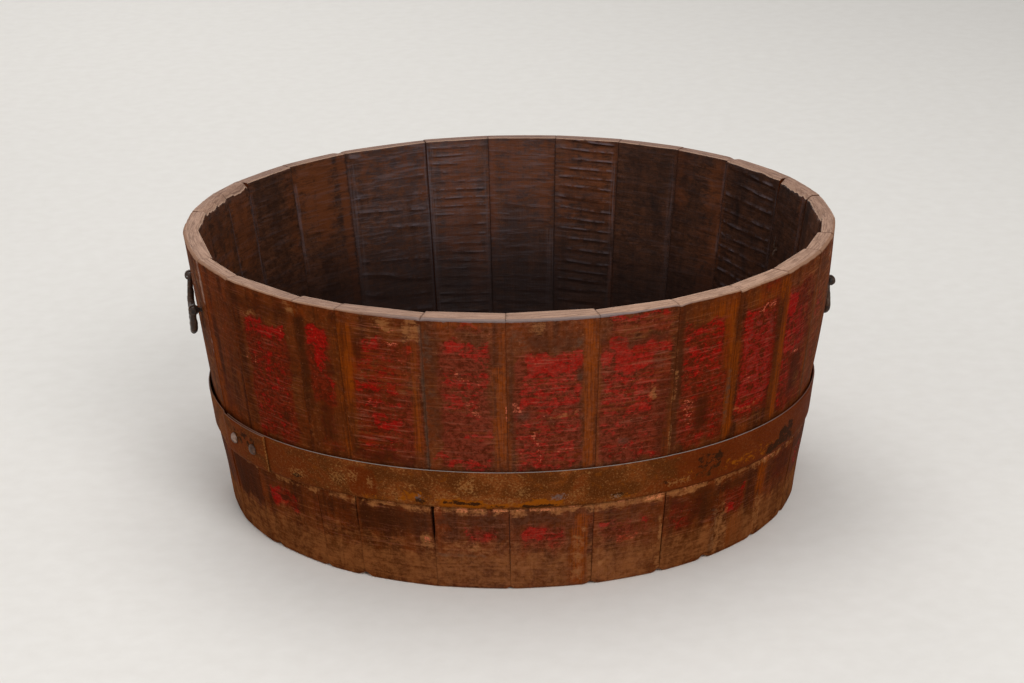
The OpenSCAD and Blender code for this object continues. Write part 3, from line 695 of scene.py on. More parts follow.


# marks on the outside: from and to angle, lowest and highest millimetre, strength
marks = {
    "red": [  # a thin old stain of paint
        (-51.8, -40.6, 141, 281, 0.85), (-52.3, -43.5, 54, 80, 0.8), (-36.2, -31, 200, 290, 0.8),
        (-35.5, -30, 144, 200, 0.35), (-27.6, -16.4, 146, 288, 0.75), (-16.4, -14.8, 160, 280, 0.4),
        (-12.2, -3.4, 143, 290, 0.8), (-9.5, -4.5, 302, 312, 0.5), (-9.2, -3.1, 55, 75, 0.7),
        (0.4, 11.7, 143, 276, 1.0), (-0.2, 1.6, 262, 282, 0.4), (1.1, 9.4, 46, 76, 0.8),
        (14.6, 27.4, 143, 284, 0.95), (16.2, 27.2, 288, 313, 0.75), (15.4, 25.6, 46, 76, 0.6),
        (29.3, 39.9, 146, 288, 0.85), (29.4, 36.8, 48, 84, 0.6), (42.2, 52.2, 158, 290, 0.9),
        (45.5, 51.5, 290, 312, 0.55), (42.8, 48.6, 46, 80, 0.75), (54.4, 66, 146, 292, 0.9),
        (58, 66, 56, 92, 0.4), (-66, -62, 150, 250, 0.25),
    ],
    "bright": [  # scraps that kept their colour
        (-51.4, -40.4, 262, 279, 0.62), (-50.4, -42, 198, 262, 0.34), (-51.5, -42, 146, 190, 0.28),
        (-52, -48.5, 56, 79, 0.75), (-48.5, -43.6, 56, 66, 0.45), (-48, -44, 70, 78, 0.4),
        (-35.7, -31.6, 268, 289, 0.72), (-34.6, -32, 236, 268, 0.5), (-33, -31, 210, 240, 0.4),
        (-25.2, -22, 270, 287, 0.62), (-27.2, -18.5, 224, 238, 0.55), (-26, -18.5, 209, 218, 0.5),
        (-24.6, -19, 178, 203, 0.55), (-26, -20, 150, 172, 0.4), (-17.4, -16.2, 271, 283, 0.75),
        (-26, -18, 240, 268, 0.34), (-10.8, -3.5, 272, 291, 0.55), (-5.4, -3.5, 236, 275, 0.5),
        (-11.4, -5, 206, 256, 0.38), (-8.4, -5.4, 308, 313, 0.7), (-14, -11, 155, 164, 0.6),
        (-11, -3.6, 144, 156, 0.5), (-8.6, -3, 178, 187, 0.5), (-9.2, -3.3, 58, 72, 0.45),
        (2.2, 11.7, 252, 276, 0.8), (9.6, 11.7, 262, 276, 0.85), (1.4, 11.5, 214, 252, 0.55),
        (0.4, 11.4, 176, 214, 0.4), (0.4, 11, 144, 176, 0.46), (1.2, 5.4, 57, 73, 0.85),
        (1.4, 9, 50, 72, 0.45), (16.3, 26.6, 305, 314, 0.62), (15.9, 19.2, 274, 288, 0.9),
        (14.6, 16.4, 252, 271, 0.8), (16.8, 27.2, 265, 277, 0.85), (16.9, 23.9, 248, 268, 0.9),
        (15, 24.6, 196, 248, 0.46), (15, 24, 146, 190, 0.36), (23.8, 25.6, 144, 152, 0.6),
        (15.8, 17.6, 65, 73, 0.8), (23.8, 25.2, 63, 71, 0.7), (18.3, 23.2, 48, 60, 0.45),
        (29.6, 38.2, 262, 290, 0.42), (29.6, 37.6, 226, 262, 0.45), (30, 38.6, 150, 224, 0.3),
        (29.8, 33, 52, 72, 0.3), (42.9, 45.4, 246, 286, 0.75), (42.7, 52, 166, 262, 0.6),
        (45, 51.8, 255, 284, 0.46), (46.5, 50, 296, 310, 0.3), (42.9, 46, 48, 62, 0.7),
        (47, 48.6, 68, 78, 0.7), (54.4, 58.7, 258, 283, 0.9), (54.4, 64, 214, 262, 0.5),
        (55, 61, 150, 206, 0.34),
    ],
    "ochre": [  # strips beside a joint, bare to the orange wood
        (-67.6, -64, 140, 230, 0.9), (-67.5, -65.5, 230, 300, 0.4), (-30.6, -28.8, 144, 300, 0.55),
        (-29.4, -26.8, 224, 300, 0.85), (-29.2, -27.4, 170, 224, 0.5), (-16.8, -15, 150, 255, 0.55),
        (-3.3, -0.7, 144, 262, 0.75), (-3, -0.7, 264, 300, 0.4), (11.8, 14.2, 143, 312, 0.95),
        (9.8, 13.4, 2, 70, 0.9), (11, 13.4, 60, 88, 0.85), (26.6, 28.1, 146, 240, 0.35),
        (38.4, 40.8, 226, 308, 0.7), (39.8, 42.3, 144, 256, 0.85), (51.9, 53.8, 286, 313, 1.0),
        (53.4, 55.2, 144, 300, 0.75), (51.2, 53.2, 150, 240, 0.5), (52, 54.6, 58, 96, 0.95),
        (52, 55, 5, 58, 0.4), (65.4, 68, 150, 280, 0.45), (-18.5, -14.8, 240, 290, 0.35),
        (-12, -2, 306, 313, 0.55), (-38.6, -36, 300, 313, 0.5), (41.4, 51, 288, 306, 0.45),
        (28.6, 38, 290, 308, 0.4), (44, 50, 4, 40, 0.35),
    ],
    "dark": [
        (-67, -55, 150, 200, 0.35), (-64.5, -62.5, 190, 262, 0.6), (-58, -55.4, 200, 290, 0.4),
        (-66, -55.5, 44, 100, 1.0), (-55, -39, 284, 306, 0.65), (-54.8, -52, 146, 280, 0.45),
        (-44.4, -42, 168, 180, 0.8), (-49, -45.2, 64.5, 70, 0.85), (-55, -38, 80, 100, 0.5),
        (-38, -35.8, 190, 300, 0.6), (-32.6, -30.6, 236, 252, 0.8), (-41, -38, 140, 260, 0.45),
        (-35, -32, 160, 204, 0.6), (-38, -29.5, 66, 96, 0.45), (-27, -25, 264, 296, 0.75),
        (-28, -16, 143, 160, 0.6), (-29.4, -14.8, 64, 92, 0.85), (-14.4, -11.6, 176, 300, 0.5),
        (-14.4, -2, 78, 92, 0.6), (-4, -0.8, 262, 290, 0.4), (-0.8, 0.4, 180, 300, 0.5),
        (2, 11, 277, 296, 0.6), (0.6, 3.2, 200, 212, 0.75), (5, 7.6, 196, 206, 0.7),
        (-0.6, 9.4, 79, 92, 0.6), (10.5, 11.8, 239, 257, 1.0), (14.4, 16.2, 276, 300, 0.5),
        (17, 27, 276, 288, 0.55), (25, 28, 146, 240, 0.5), (14.6, 27.8, 78, 90, 0.45),
        (26.4, 28.1, 20, 90, 0.5), (28.3, 29.6, 146, 312, 0.6), (33, 36.2, 162, 206, 0.85),
        (34, 40, 50, 94, 0.75), (28.4, 40, 74, 89, 0.5), (40.4, 42, 256, 312, 0.4), (41, 52, 76, 90, 0.7),
        (48.6, 51.6, 8, 92, 0.5), (50.4, 53.4, 150, 290, 0.5), (59.4, 64, 158, 206, 0.85),
        (60, 66, 206, 290, 0.35), (55.4, 66.6, 60, 89, 0.6),
    ],
    "tan": [
        (-17.4, -14.9, 288, 312, 0.75), (-22.6, -20, 298, 312, 0.4), (-51, -47, 282, 286, 0.3),
        (-40, -38, 300, 312, 0.4), (23.8, 25, 212, 226, 0.6), (28.2, 28.7, 205, 240, 0.5),
        # the rows from 92 to 101 mm: partly a painted highlight on the ledge under the hoop
        (27.9, 28.4, 143, 175, 0.35), (-29.4, -15, 94, 100, 0.6), (-14.2, -0.8, 95, 101, 0.45),
        (0, 14, 96, 101, 0.7), (14.6, 27.6, 92, 101, 0.7), (28.4, 40, 92, 99, 0.55), (54, 63, 93, 99, 0.7),
        (-16.9, -14.9, 46, 62, 0.6), (-11, -4.2, 46, 56, 0.3), (27.3, 28, 46, 74, 0.9),
        (27.2, 28, 2, 26, 0.6), (15.4, 16.3, 21, 27, 1.0), (10.6, 12.4, 6, 60, 0.5),
        (-13, -12.2, 0, 4, 0.5), (52.6, 55, 4, 54, 0.55), (40.2, 44, 4, 60, 0.4), (12.2, 12.8, 68, 73, 0.6),
        (3.2, 5.4, 297, 312, 0.3), (42.4, 50, 170, 174, 0.25), (6, 12, 203, 206, 0.35),
    ],
    "pink": [  # flecks and scuffs
        (-24, -18.4, 295, 301, 0.62), (-21.2, -18.4, 280, 287, 0.95), (-26, -19, 209, 219, 0.55),
        (-20.4, -17.8, 256, 278, 0.4), (-20, -15, 308, 313, 0.4), (-9, -5.3, 307, 312, 0.5),
        (-9.6, -5, 243, 254, 0.62), (-8, -5, 205, 229, 0.62), (-6.8, -5.8, 208, 217, 1.0),
        (-6, -4, 150, 162, 0.5), (-1.2, -0.8, 196, 217, 1.0), (-10, -2.4, 296, 302, 0.4),
        (0.1, 2, 210, 224, 0.75), (3, 3.9, 172, 187, 0.95), (3.8, 4.6, 163, 175, 1.0),
        (4, 5, 150, 160, 0.85), (1.6, 11, 202, 206, 0.55), (0.6, 11, 163, 166, 0.55),
        (9.8, 11.4, 158, 172, 0.5), (2, 5, 255, 270, 0.4), (15, 24, 236, 240, 0.4),
        (-53, -49.4, 224, 236, 0.7), (-48, -42, 206, 211, 0.45), (-42.4, -40.6, 166, 196, 0.5),
        (-41.8, -41, 270, 277, 0.9), (-8.8, -5, 45, 56, 0.6), (-13.6, -11, 44, 50, 0.4),
        (-20.5, -18, 58, 64, 0.4), (-21, -17, 76, 84, 0.4), (18.6, 23, 48, 60, 0.62),
        (11.8, 12.8, 68, 73, 0.6), (-16.6, -15, 50, 60, 0.8), (30.6, 33, 174, 206, 0.66),
        (30, 36, 210, 232, 0.35), (36, 39, 158, 180, 0.45), (46, 51, 278, 288, 0.8),
        (46, 52, 262, 268, 0.5), (43, 50, 196, 216, 0.5), (59.6, 62.4, 205, 210, 0.95),
        (44, 50, 160, 182, 0.4), (28.2, 28.8, 206, 240, 0.7), (56, 62, 276, 284, 0.4),
    ],
    "worn": [  # worn lips along the staves' tops under the hoop, brightened in part as a painted highlight against the hoop's shadow
        (-14.2, -13, 96, 103, 0.7), (-10.2, -8.4, 94, 103, 0.95), (-7.4, -5.2, 96, 103, 0.95),
        (-3.6, -1.2, 95, 103, 0.95), (0.2, 1.6, 95, 103, 0.5), (2.8, 7.8, 95, 103, 0.95),
        (9.8, 12.4, 96, 103, 0.7), (18, 23, 96, 103, 0.45), (24.4, 27.8, 93, 103, 0.85),
        (32, 40, 96, 103, 0.5), (53.4, 64, 95, 103, 0.75), (-37, -31, 97, 103, 0.4),
        (-27, -19, 97, 103, 0.45),
    ],
    "grey": [
        (-14.9, -14.3, 143, 308, 0.8), (-14.4, -13, 262, 300, 0.45), (-14, -12.6, 228, 238, 0.5),
        (0, 2.2, 288, 304, 0.5), (10.8, 11.6, 242, 252, 0.9), (10.4, 11.7, 282, 292, 0.5),
        (0.8, 3, 201, 211, 0.5), (18.2, 20.4, 164, 172, 0.7), (24, 26.4, 246, 272, 0.35),
        (39.7, 40.6, 160, 226, 0.5), (-14.2, -5, 38, 42, 0.5), (-9, -8.4, 246, 258, 0.5),
        (43, 51, 176, 280, 0.3), (39.6, 41, 4, 60, 0.4), (2, 11.4, 214, 217, 0.4),
        # the last row: a painted sheen on the left side
        (-85, -68, 140, 305, 0.22),
    ],
    # painted sheen where the sides turn away from the view
    "silver": [
        (-68.4, -66.9, 262, 315, 0.6), (-68, -67.1, 205, 262, 0.3), (-84, -70, 150, 312, 0.07),
        (74, 84, 290, 313, 0.2), (66, 78, 160, 300, 0.05),
    ],
    # dust at the foot and low down; the two side rows are a painted sheen
    "dust": [
        (-180, 180, 0, 42, 0.85), (-52, 28, 40, 60, 0.4), (-86, -68, 140, 315, 0.36),
        (62, 84, 140, 315, 0.24),
    ],
    "scratched": [
        (-28, -15, 144, 306, 0.7), (-55, -38, 140, 310, 0.45), (-14, -1, 144, 306, 0.5),
        (14.5, 28, 144, 314, 0.7), (0, 12, 144, 280, 0.6), (42, 52, 150, 300, 0.5),
        (28.5, 40, 144, 300, 0.45), (-90, -55, 100, 310, 0.3), (55, 95, 100, 310, 0.4),
        (-60, 60, 0, 96, 0.35),
    ],
}
handPlaced = {"degrees": 68, "stave": 8}  # the marks reach this far from the front, and over this stave
# how softly a mark's sides fade, in millimetres
markMargins = {"worn": 1.5, "silver": 2, "red": 7, "bright": 3.5, "ochre": 5, "dark": 9, "tan": 3, "pink": 3,
               "grey": 3, "dust": 12, "scratched": 8}


def guessMarks(number, start, end):  # sides and back, which no photograph shows
    rng = np.random.default_rng(300 + number)
    left, right, strength = start + rng.uniform(1, 3.4), end - rng.uniform(1.6, 4.4), rng.uniform(0.3, 1.0)
    top, parting = rng.uniform(252, 296), rng.uniform(190, 244)
    lowLeft, lowRight = left + rng.uniform(0, 2), right - rng.uniform(0, 3)
    return {
        "red": [(left, right, 143, top, strength),
                (lowLeft, lowRight, rng.uniform(44, 56), rng.uniform(66, 84), 0.8 * strength)],
        "bright": [(left, right, parting + 24, top, 0.75 * strength),
                   (lowLeft, lowRight, 150, parting, rng.uniform(0.2, 0.6) * strength),
                   (lowLeft, lowLeft + rng.uniform(1, 6), 52, rng.uniform(60, 78),
                    rng.uniform(0, 0.9) * strength)],
        "ochre": [(end - 2.4, end, 146, 306, rng.uniform(0.4, 0.95)),
                  (start, start + 1.6, 150, 280, rng.uniform(0, 0.6))],
        "dark": [(start, end, 76, 90, 0.7), (left, right, 282, 306, rng.uniform(0.3, 0.7)),
                 (right - 3, right, 160, 205, rng.uniform(0.2, 0.9))],
        # tan from 93 to 100 mm and pink from 94 to 101 mm: partly a painted highlight on the ledge under the
        # hoop
        "tan": [(start + 1, end - 1, 93, 100, 0.4),
                (end - 4, end - 1, rng.uniform(280, 290), 308, rng.uniform(0, 0.4))],
        "pink": [(left + 2, left + 5, parting - 10, parting + 12, rng.uniform(0.3, 0.8)),
                 (right - 4, right - 1, 272, 286, rng.uniform(0.2, 0.8)), (lowLeft, lowRight, 94, 101, 0.6)],
        "grey": [(start - 0.3, start + 0.8, 143, 300, rng.uniform(0, 0.7))],
        "worn": [(start + 2, start + rng.uniform(4, 8), 95, 103, rng.uniform(0.2, 0.9))],
        "silver": [],
        "dust": [],
        "scratched": [(start, end, 144, 306, rng.uniform(0.3, 0.8))],
    }


innerMargins = {"sooty": 18, "warm": 18, "film": 2}  # as markMargins
# inside: painted shade on the side walls, warm strips, dull films and their strengths
innerMarks = {
    # painted shade on the inner side walls
    "sooty": [
        (96, 130, 0, 330, 0.5), (130, 157, 0, 330, 0.42), (157, 170, 0, 250, 0.4), (228, 262, 0, 330, 0.3),
    ],
    "warm": [
        (131, 136, 120, 315, 0.75), (140, 143.6, 240, 315, 0.5), (157.4, 170, 210, 315, 0.55),
        (170.5, 183.5, 240, 315, 0.6), (171, 175, 215, 262, 0.7), (156.6, 157.8, 105, 160, 1.0),
        (182.4, 184.4, 190, 315, 0.9), (184.4, 195, 170, 315, 0.6), (185, 189, 110, 190, 0.7),
        (197, 200, 240, 315, 0.5), (200, 213, 270, 315, 0.4), (214.6, 217, 120, 315, 0.75),
        (218, 228, 220, 315, 0.8), (228.6, 232, 200, 315, 0.4), (242.6, 250, 220, 315, 0.75),
        (250.8, 262, 230, 315, 0.6), (262, 276, 230, 315, 0.4), (101, 104, 150, 315, 0.35),
    ],
    "film": [
        (195.6, 197.4, 60, 315, 0.8), (170, 172, 100, 200, 0.5), (143.6, 145, 80, 300, 0.4),
        (157.2, 158.2, 60, 300, 0.6), (113.6, 114.6, 80, 300, 0.4), (102, 103, 200, 310, 0.6),
        (227.4, 228.6, 180, 290, 0.7), (241.4, 242.4, 150, 300, 0.9), (250.2, 251, 190, 300, 0.7),
        (212.6, 214.4, 60, 300, 0.4), (184, 185, 60, 300, 0.4), (130.6, 131.6, 200, 310, 0.6),
    ],
}


def softBox(degrees, up, mark, margin):
    start, end, low, high, strength = mark
    half = (end - start) / 2
    beside = (half - np.abs(turned(degrees, (start + end) / 2))) * perDegree["mark"]  # how far within it
    above = np.minimum(up - low, high - up)
    sideMargin, upMargin = min(margin, half * 4.6), min(margin, (high - low) * 0.4)
    return strength * smooth(beside, -sideMargin, sideMargin) * smooth(above, -upMargin, upMargin)


def highest(boxes, degrees, up, margin):
    return np.max([np.zeros(len(degrees))] + [softBox(degrees, up, box, margin) for box in boxes], axis=0)


def markStave(mesh, number, top, degrees, up, deep):
    start, end = degrees.min(), degrees.max()
    seen = abs((start + end) / 2) <= handPlaced["degrees"] or number == handPlaced["stave"]
    unseen = {} if seen else guessMarks(number, start, end)
    sway = 1.0 * np.sin(up / 17 + number) + 0.6 * np.sin(up / 7.3 + 2 * number)  # so that no side is straight
    rise = 2.4 * np.sin(degrees * 0.9 + number) + 1.6 * np.sin(degrees * 2.3 + 3 * number)
    around = turned(degrees, 0)
    facing = np.where(deep > 10, np.abs(turned(around, 191)), np.abs(around - 5))
    chamfer = outerChamfers.get(number, plainChamfer) * 1000
    wide = chamfer + 1.6 * smooth(-np.abs(degrees + 4), -34, -12)  # the rim's worn edge, widest at the front
    rimLine = top - wide
    # a painted highlight on the ledge under the hoop, partly wear
    ledge = smooth(up, 86, 96) * (0.5 + 0.25 * np.sin(degrees * 0.7 + number) + 0.2 * np.sin(degrees * 1.9))
    values = {
        "ledge": ledge * (up < 102) * (0.75 if unseen else 1),
        "staveSeed": np.full(len(degrees), number * 3.7),
        "depth": smooth(-up, -300, -60),
        "rimWear": (1 - smooth(deep, wide, wide + 0.8)) * smooth(up, rimLine - 1.0, rimLine + 0.2) * 0.9,
        "greyed": smooth(-np.abs(degrees - 4), -36, -14),
        "rimShade": np.interp(around, *zip(*rimShades)),
        "haze": smooth(-facing, -32, -10),  # painted sheen where the wall faces the view
    }
    for name, boxes in marks.items():
        own = [box for box in boxes if box[1] > start - 2 and box[0] < end + 2]
        bent = 0 if name in ("grey", "scratched", "silver", "worn") else 0.5 if name == "ochre" else 1
        values[name] = highest(own + unseen.get(name, []), degrees + bent * sway / perDegree["mark"],
                               up + bent * rise, markMargins[name])
    for name, boxes in innerMarks.items():
        values[name] = highest(boxes, degrees, up, innerMargins[name])
    for name, value in values.items():
        keepValues(mesh, name, value)


staveTree = makeStaveTree(staveShape)
staveCount = sum(name.startswith("stave_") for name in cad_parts)
insets = np.random.default_rng(5).uniform(0, 0.0004, staveCount + 1)
for number in range(1, staveCount + 1):
    node = f"stave_{number:02d}"
    facts = staveFacts(node)
    depth, step = adzeMarks.get(number, plainAdze)
    facts["Rim Inside"] -= rimThickening.get(number, 0)
    stave = grow(f"hewnStave{number:02d}", staveTree, {
        **facts, "Seed": number * 1.7, "Painted": paintedFinish, "Inner": innerFinish, "Rim": rimFinish,
        "Adze Depth": depth, "Adze Step": step, "Inset": insets[number],
        "Bevel": innerBevels.get(number, plainBevel), "Chamfer": outerChamfers.get(number, plainChamfer),
    })
    worn = wearStave(stave.data, number, facts)
    markStave(stave.data, number, facts["Height"] * 1000, *worn)
    standIn(stave, node, "tub")
print("staves grown:", staveCount)


# the floor and the pegs keep their solids
boardTones = palette(
    deep=(38, 24, 18), brown=(78, 50, 34), stain=(30, 21, 18), soil=(13, 9, 7),
)


def makeBoardFinish(name, seed, low, high, spare):  # low and high: its two long edges, in metres
    wood = Finish(name, boardTones, 0.12)
    place = wood.objectPlace()
    across = split(place)[1]
    toEdge = calc("MINIMUM", across - low, high - across)
    grain = noise(place, (3, 90, 90), 5, 0.6, seed, 0.6)
    stain = noise(place, 9, 4, 0.6, 5.0, 0.8)
    fibre = noise(place, (25, 520, 520), 3, 0.6, seed)
    tone = wood.coat(
        wood.blend(grain.step(0.34, 0.66), "deep", "brown"),
        (spare, "deep"),
        (fibre.step(0.5, 0.64) * 0.4, "deep"),
        (stain.step(0.45, 0.65) * 0.7, "stain"),
        ((toEdge + (fibre - 0.5) * 0.004).step(0.0035, 0.001) * 0.9, "soil"))
    height = grain + fibre * 0.5 + toEdge.step(0.0, 0.003) * 2.0
    return wood.complete(tone, stain * 0.3 + 0.45, height, 0.0012, 0.7)


pegFinish = makeBoardFinish("splitPeg", 3.0, -1.0, 1.0, 0.0)
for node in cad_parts:
    if node.startswith("floor_board"):
        number = int(node[-1])
        low, high = (corner[1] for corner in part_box(node))
        finish = makeBoardFinish(f"darkFloorBoard{number}", 7.3 * number, low, high, 0.17 * (number * 2 % 5))
    elif node in ("floor_dowels", "lower_pegs", "upper_pegs"):
        finish = pegFinish
    else:
        continue
    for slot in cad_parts[node].material_slots:
        slot.material = finish


ironTones = palette(
    rust=(114, 57, 22), brown=(82, 40, 13), dark=(48, 26, 12), tan=(150, 102, 56), orange=(132, 68, 10),
    ruddy=(88, 29, 4), bright=(140, 132, 126), blue=(96, 90, 90),
)


def makeHoopFinish():
    iron = Finish("rustyStrap", ironTones, 0.006)
    read, mark = iron.read, iron.mark
    wall = read("wall", "Vector")
    blotch = noise(wall, (22, 34, 22), 6, 0.68, 2.0, 0.6)
    mottle = noise(wall, (90, 130, 90), 6, 0.74, 4.0, 0.5)
    speck = noise(wall, (330, 420, 330), 3, 0.7, 6.0)
    grit = noise(wall, (620, 700, 620), 2, 0.6, 9.0)
    lip = (read("fromEnd") + mottle * 0.004).step(0.003, 0.0022)
    tone = iron.coat(
        iron.blend(blotch.step(0.4, 0.6), "brown", "rust"),
        (mottle.step(0.5, 0.62) * 0.6, "brown"),
        (mottle.step(0.46, 0.36) * 0.3, "orange"),
        ((speck * 0.5 + mottle * 0.25 + blotch * 0.25).step(0.505, 0.6) * 0.62, "tan"),
        (grit.step(0.54, 0.64) * 0.2, "tan"),
        (grit.step(0.46, 0.36) * 0.25, "dark"),
        (mark("ruddy", blotch, 3.4, 0.4, 0.72), "ruddy"),
        (mark("ochre", mottle, 4.4, 0.24, 0.95), "orange"),
        (mark("dark", mottle, 4.2, 0.16, 0.95), "dark"),
        (mark("tan", speck, 4.6, 0.4, 0.5), "tan"),
        (mark("blue", speck, 4.0, 0.4, 0.55), "blue"),
        (speck.step(0.44, 0.3) * 0.5, "dark"),
        ((read("rise") + mottle * 0.012).step(0.99, 1.0) * read("edgeWear"), "bright"),
        (lip * speck.step(0.4, 0.6) * 0.6, "tan"))
    return iron.complete(tone, mottle * 0.4 + 0.36, speck * 0.5 + mottle * 0.7 + blotch * 0.5, 0.0009)


strapShape = {
    "columns": 620,  # points along the strap
    "layers": 4,
    "rows": 16,
    "thick": 0.0024,
    "ease": 0.0007,
    "lapEnd": -50,  # degrees
    "lapLength": 0.09,
    "lapRadius": 0.3463,
    "climb": 0.016,  # along which the lapped end rises over the other
    "lift": 0.0027,
}
# the strap wanders: angle, and how far its top edge lies above or below its solid, in millimetres
strapWander = [
    (-180, 0.0), (-120, -1.0), (-67, -4.5), (-50, -3.0), (-30, -0.5), (-15, 0.0), (5, 0.0), (30, 0.0),
    (50, -0.8), (65, -1.6), (90, -2.4), (130, -1.0), (180, 0.0),
]


def makeStrapTree(shape):
    tree, given, out = newTree("strapBlank", "GeometryNodeTree", {
        "From": 0.0, "Turn": 6.7, "Low": 0.099, "High": 0.142, "Low Radius": 0.342, "High Radius": 0.348,
        "Lap": 0.26, "Lift": 0.0027, "Climb": 0.05, "Iron": "Material",
    }, {"Mesh": "Geometry"})
    mesh, along, deep, rise = makeBlank(tree, shape)
    angle = given["Turn"] * along + given["From"]
    left = (1.0 - along) * given["Turn"]  # turn left to the strap's end
    lift = left.step(given["Lap"] + given["Climb"], given["Lap"]) * given["Lift"]
    base = (given["High Radius"] - given["Low Radius"]) * rise + given["Low Radius"]
    tall = given["High"] - given["Low"]
    z = tall * rise + given["Low"]
    around = roundAxis(angle, unrollRadius, z)
    dents = noise(around, 26, 3, 0.5, 9.0)
    uneven = noise(around, 60, 4, 0.6, 3.0)
    edge = calc("MINIMUM", rise, 1.0 - rise)
    rounded = calc("EXPONENT", edge * tall * (-1 / shape["ease"]))
    outside = 1.0 - deep
    body = outside * (rounded * (-0.4 * shape["thick"]) + shape["thick"])
    radius = base + lift + body + outside * dents * -0.0008
    lowered = (1.0 - rise) * (uneven - 0.5) * 0.0022
    mesh = keep(mesh, "wall", join(angle * unrollRadius, z, deep * shape["thick"]), "FLOAT_VECTOR")
    mesh = keep(keep(mesh, "rise", rise), "fromEnd", left * unrollRadius)
    feed(out["Mesh"], complete(move(mesh, Position=roundAxis(angle, radius, z + lowered)), given["Iron"]))
    return tree


def hoopFacts(node, shape):  # the strap's edges, read from its solid, and its lap
    points = pointsOf(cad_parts[node].data)
    radii, z = np.hypot(points[:, 0], points[:, 1]), points[:, 2]
    low, high = z.min(), z.max()
    back = points[:, 1] > 0  # away from the lap
    lap = shape["lapLength"] / shape["lapRadius"]
    return {"Low": low, "High": high, "Low Radius": radii[back & (z < low + 1e-4)].min(),
            "High Radius": radii[back & (z > high - 1e-4)].min(), "From": math.radians(shape["lapEnd"]) - lap,
            "Turn": 2 * math.pi + lap, "Lap": lap, "Climb": shape["climb"] / shape["lapRadius"],
            "Lift": shape["lift"], "Iron": makeHoopFinish()}


hoopValues = hoopFacts("hoop", strapShape)
hoop = grow("lappedHoop", makeStrapTree(strapShape), hoopValues)
slope = (hoopValues["High Radius"] - hoopValues["Low Radius"]) / (hoopValues["High"] - hoopValues["Low"])
hoopFades = {"small": 4, "wide": 60, "wideFrom": 20}  # the marks' margins, and how many degrees are wide
hoopMarks = {
    "ochre": [
        (-20, -15.4, 103, 114, 0.8), (-13.4, -5.2, 100, 109, 1.0), (-5, 7, 100, 106, 0.7),
        (2, 9, 101, 109, 0.95), (-28, -22, 100, 106, 0.5), (30, 60, 104, 118, 0.3), (16, 22, 102, 108, 0.4),
    ],
    "dark": [
        (-12.6, -5.6, 103, 107, 0.95), (-17.6, -15.6, 103, 109, 0.8), (-3.6, -1.4, 101, 104, 0.7),
        (1.6, 7, 101, 104, 0.95), (17, 20, 105, 108, 0.6), (53.4, 58, 102, 112, 0.85),
        (57.5, 63.5, 102, 126, 0.75), (34, 40, 105, 135, 0.4), (-43.5, -40.5, 106, 110, 0.8),
        (-60, -56, 128, 136, 0.5), (27, 30, 108, 113, 0.6), (-61, -52, 118, 138, 0.3),
    ],
    "ruddy": [
        (-30, -24.4, 103, 136, 0.85), (-66, -31, 40, 200, 0.5), (8, 16, 118, 136, 0.3),
        (26, 110, 40, 200, 0.9), (-24, -8, 118, 140, 0.2), (-190, -80, 40, 200, 0.45),
    ],
    "tan": [
        (-30, -28.4, 118, 130, 0.7), (-26.4, -25.2, 115, 124, 0.8), (-19, -17.4, 118, 124, 0.5),
        (-9.6, -6.6, 118, 131, 0.6), (0.4, 2.4, 112, 126, 0.5), (-44, -40, 108, 116, 0.5),
        (-34, -31, 112, 126, 0.45), (17, 19.4, 103, 108, 0.6), (28, 33, 106, 112, 0.5),
    ],
    "blue": [(6.6, 9, 109, 114, 0.8), (-17.4, -16, 106, 112, 0.5), (17.4, 19, 104, 108, 0.5)],
}


def finishHoop(mesh):
    points, wall = pointsOf(mesh), wallOf(mesh)
    degrees = turned(np.degrees(wall[:, 0] / unrollRadius), 0)
    wander = np.interp(degrees, *zip(*strapWander)) / 1000
    points[:, 2] += wander
    radius = np.hypot(points[:, 0], points[:, 1])
    points[:, :2] *= ((radius + wander * slope) / radius)[:, None]
    placePoints(mesh, points)
    for name, boxes in hoopMarks.items():
        fades = [hoopFades["wide" if box[1] - box[0] > hoopFades["wideFrom"] else "small"] for box in boxes]
        spread = [softBox(degrees, wall[:, 1] * 1000, box, fade) for box, fade in zip(boxes, fades)]
        keepValues(mesh, name, np.max(spread, axis=0))
    outer = 1 - smooth(wall[:, 2], 0.2 * strapShape["thick"], 0.8 * strapShape["thick"])
    keepValues(mesh, "edgeWear", outer * (0.35 + 0.6 * smooth(-np.abs(degrees - 4), -62, -36)))


finishHoop(hoop.data)
standIn(hoop, "hoop", "tub")
print("hoop grown")


rivetShape = {
    "head": 0.0066,  # radius of a head, in metres
    "rise": 0.0036,
    "seat": 0.0043,  # from the solid's outermost point in to the head's middle
    "drop": 0.0028,
    "dent": 0.0007,
}


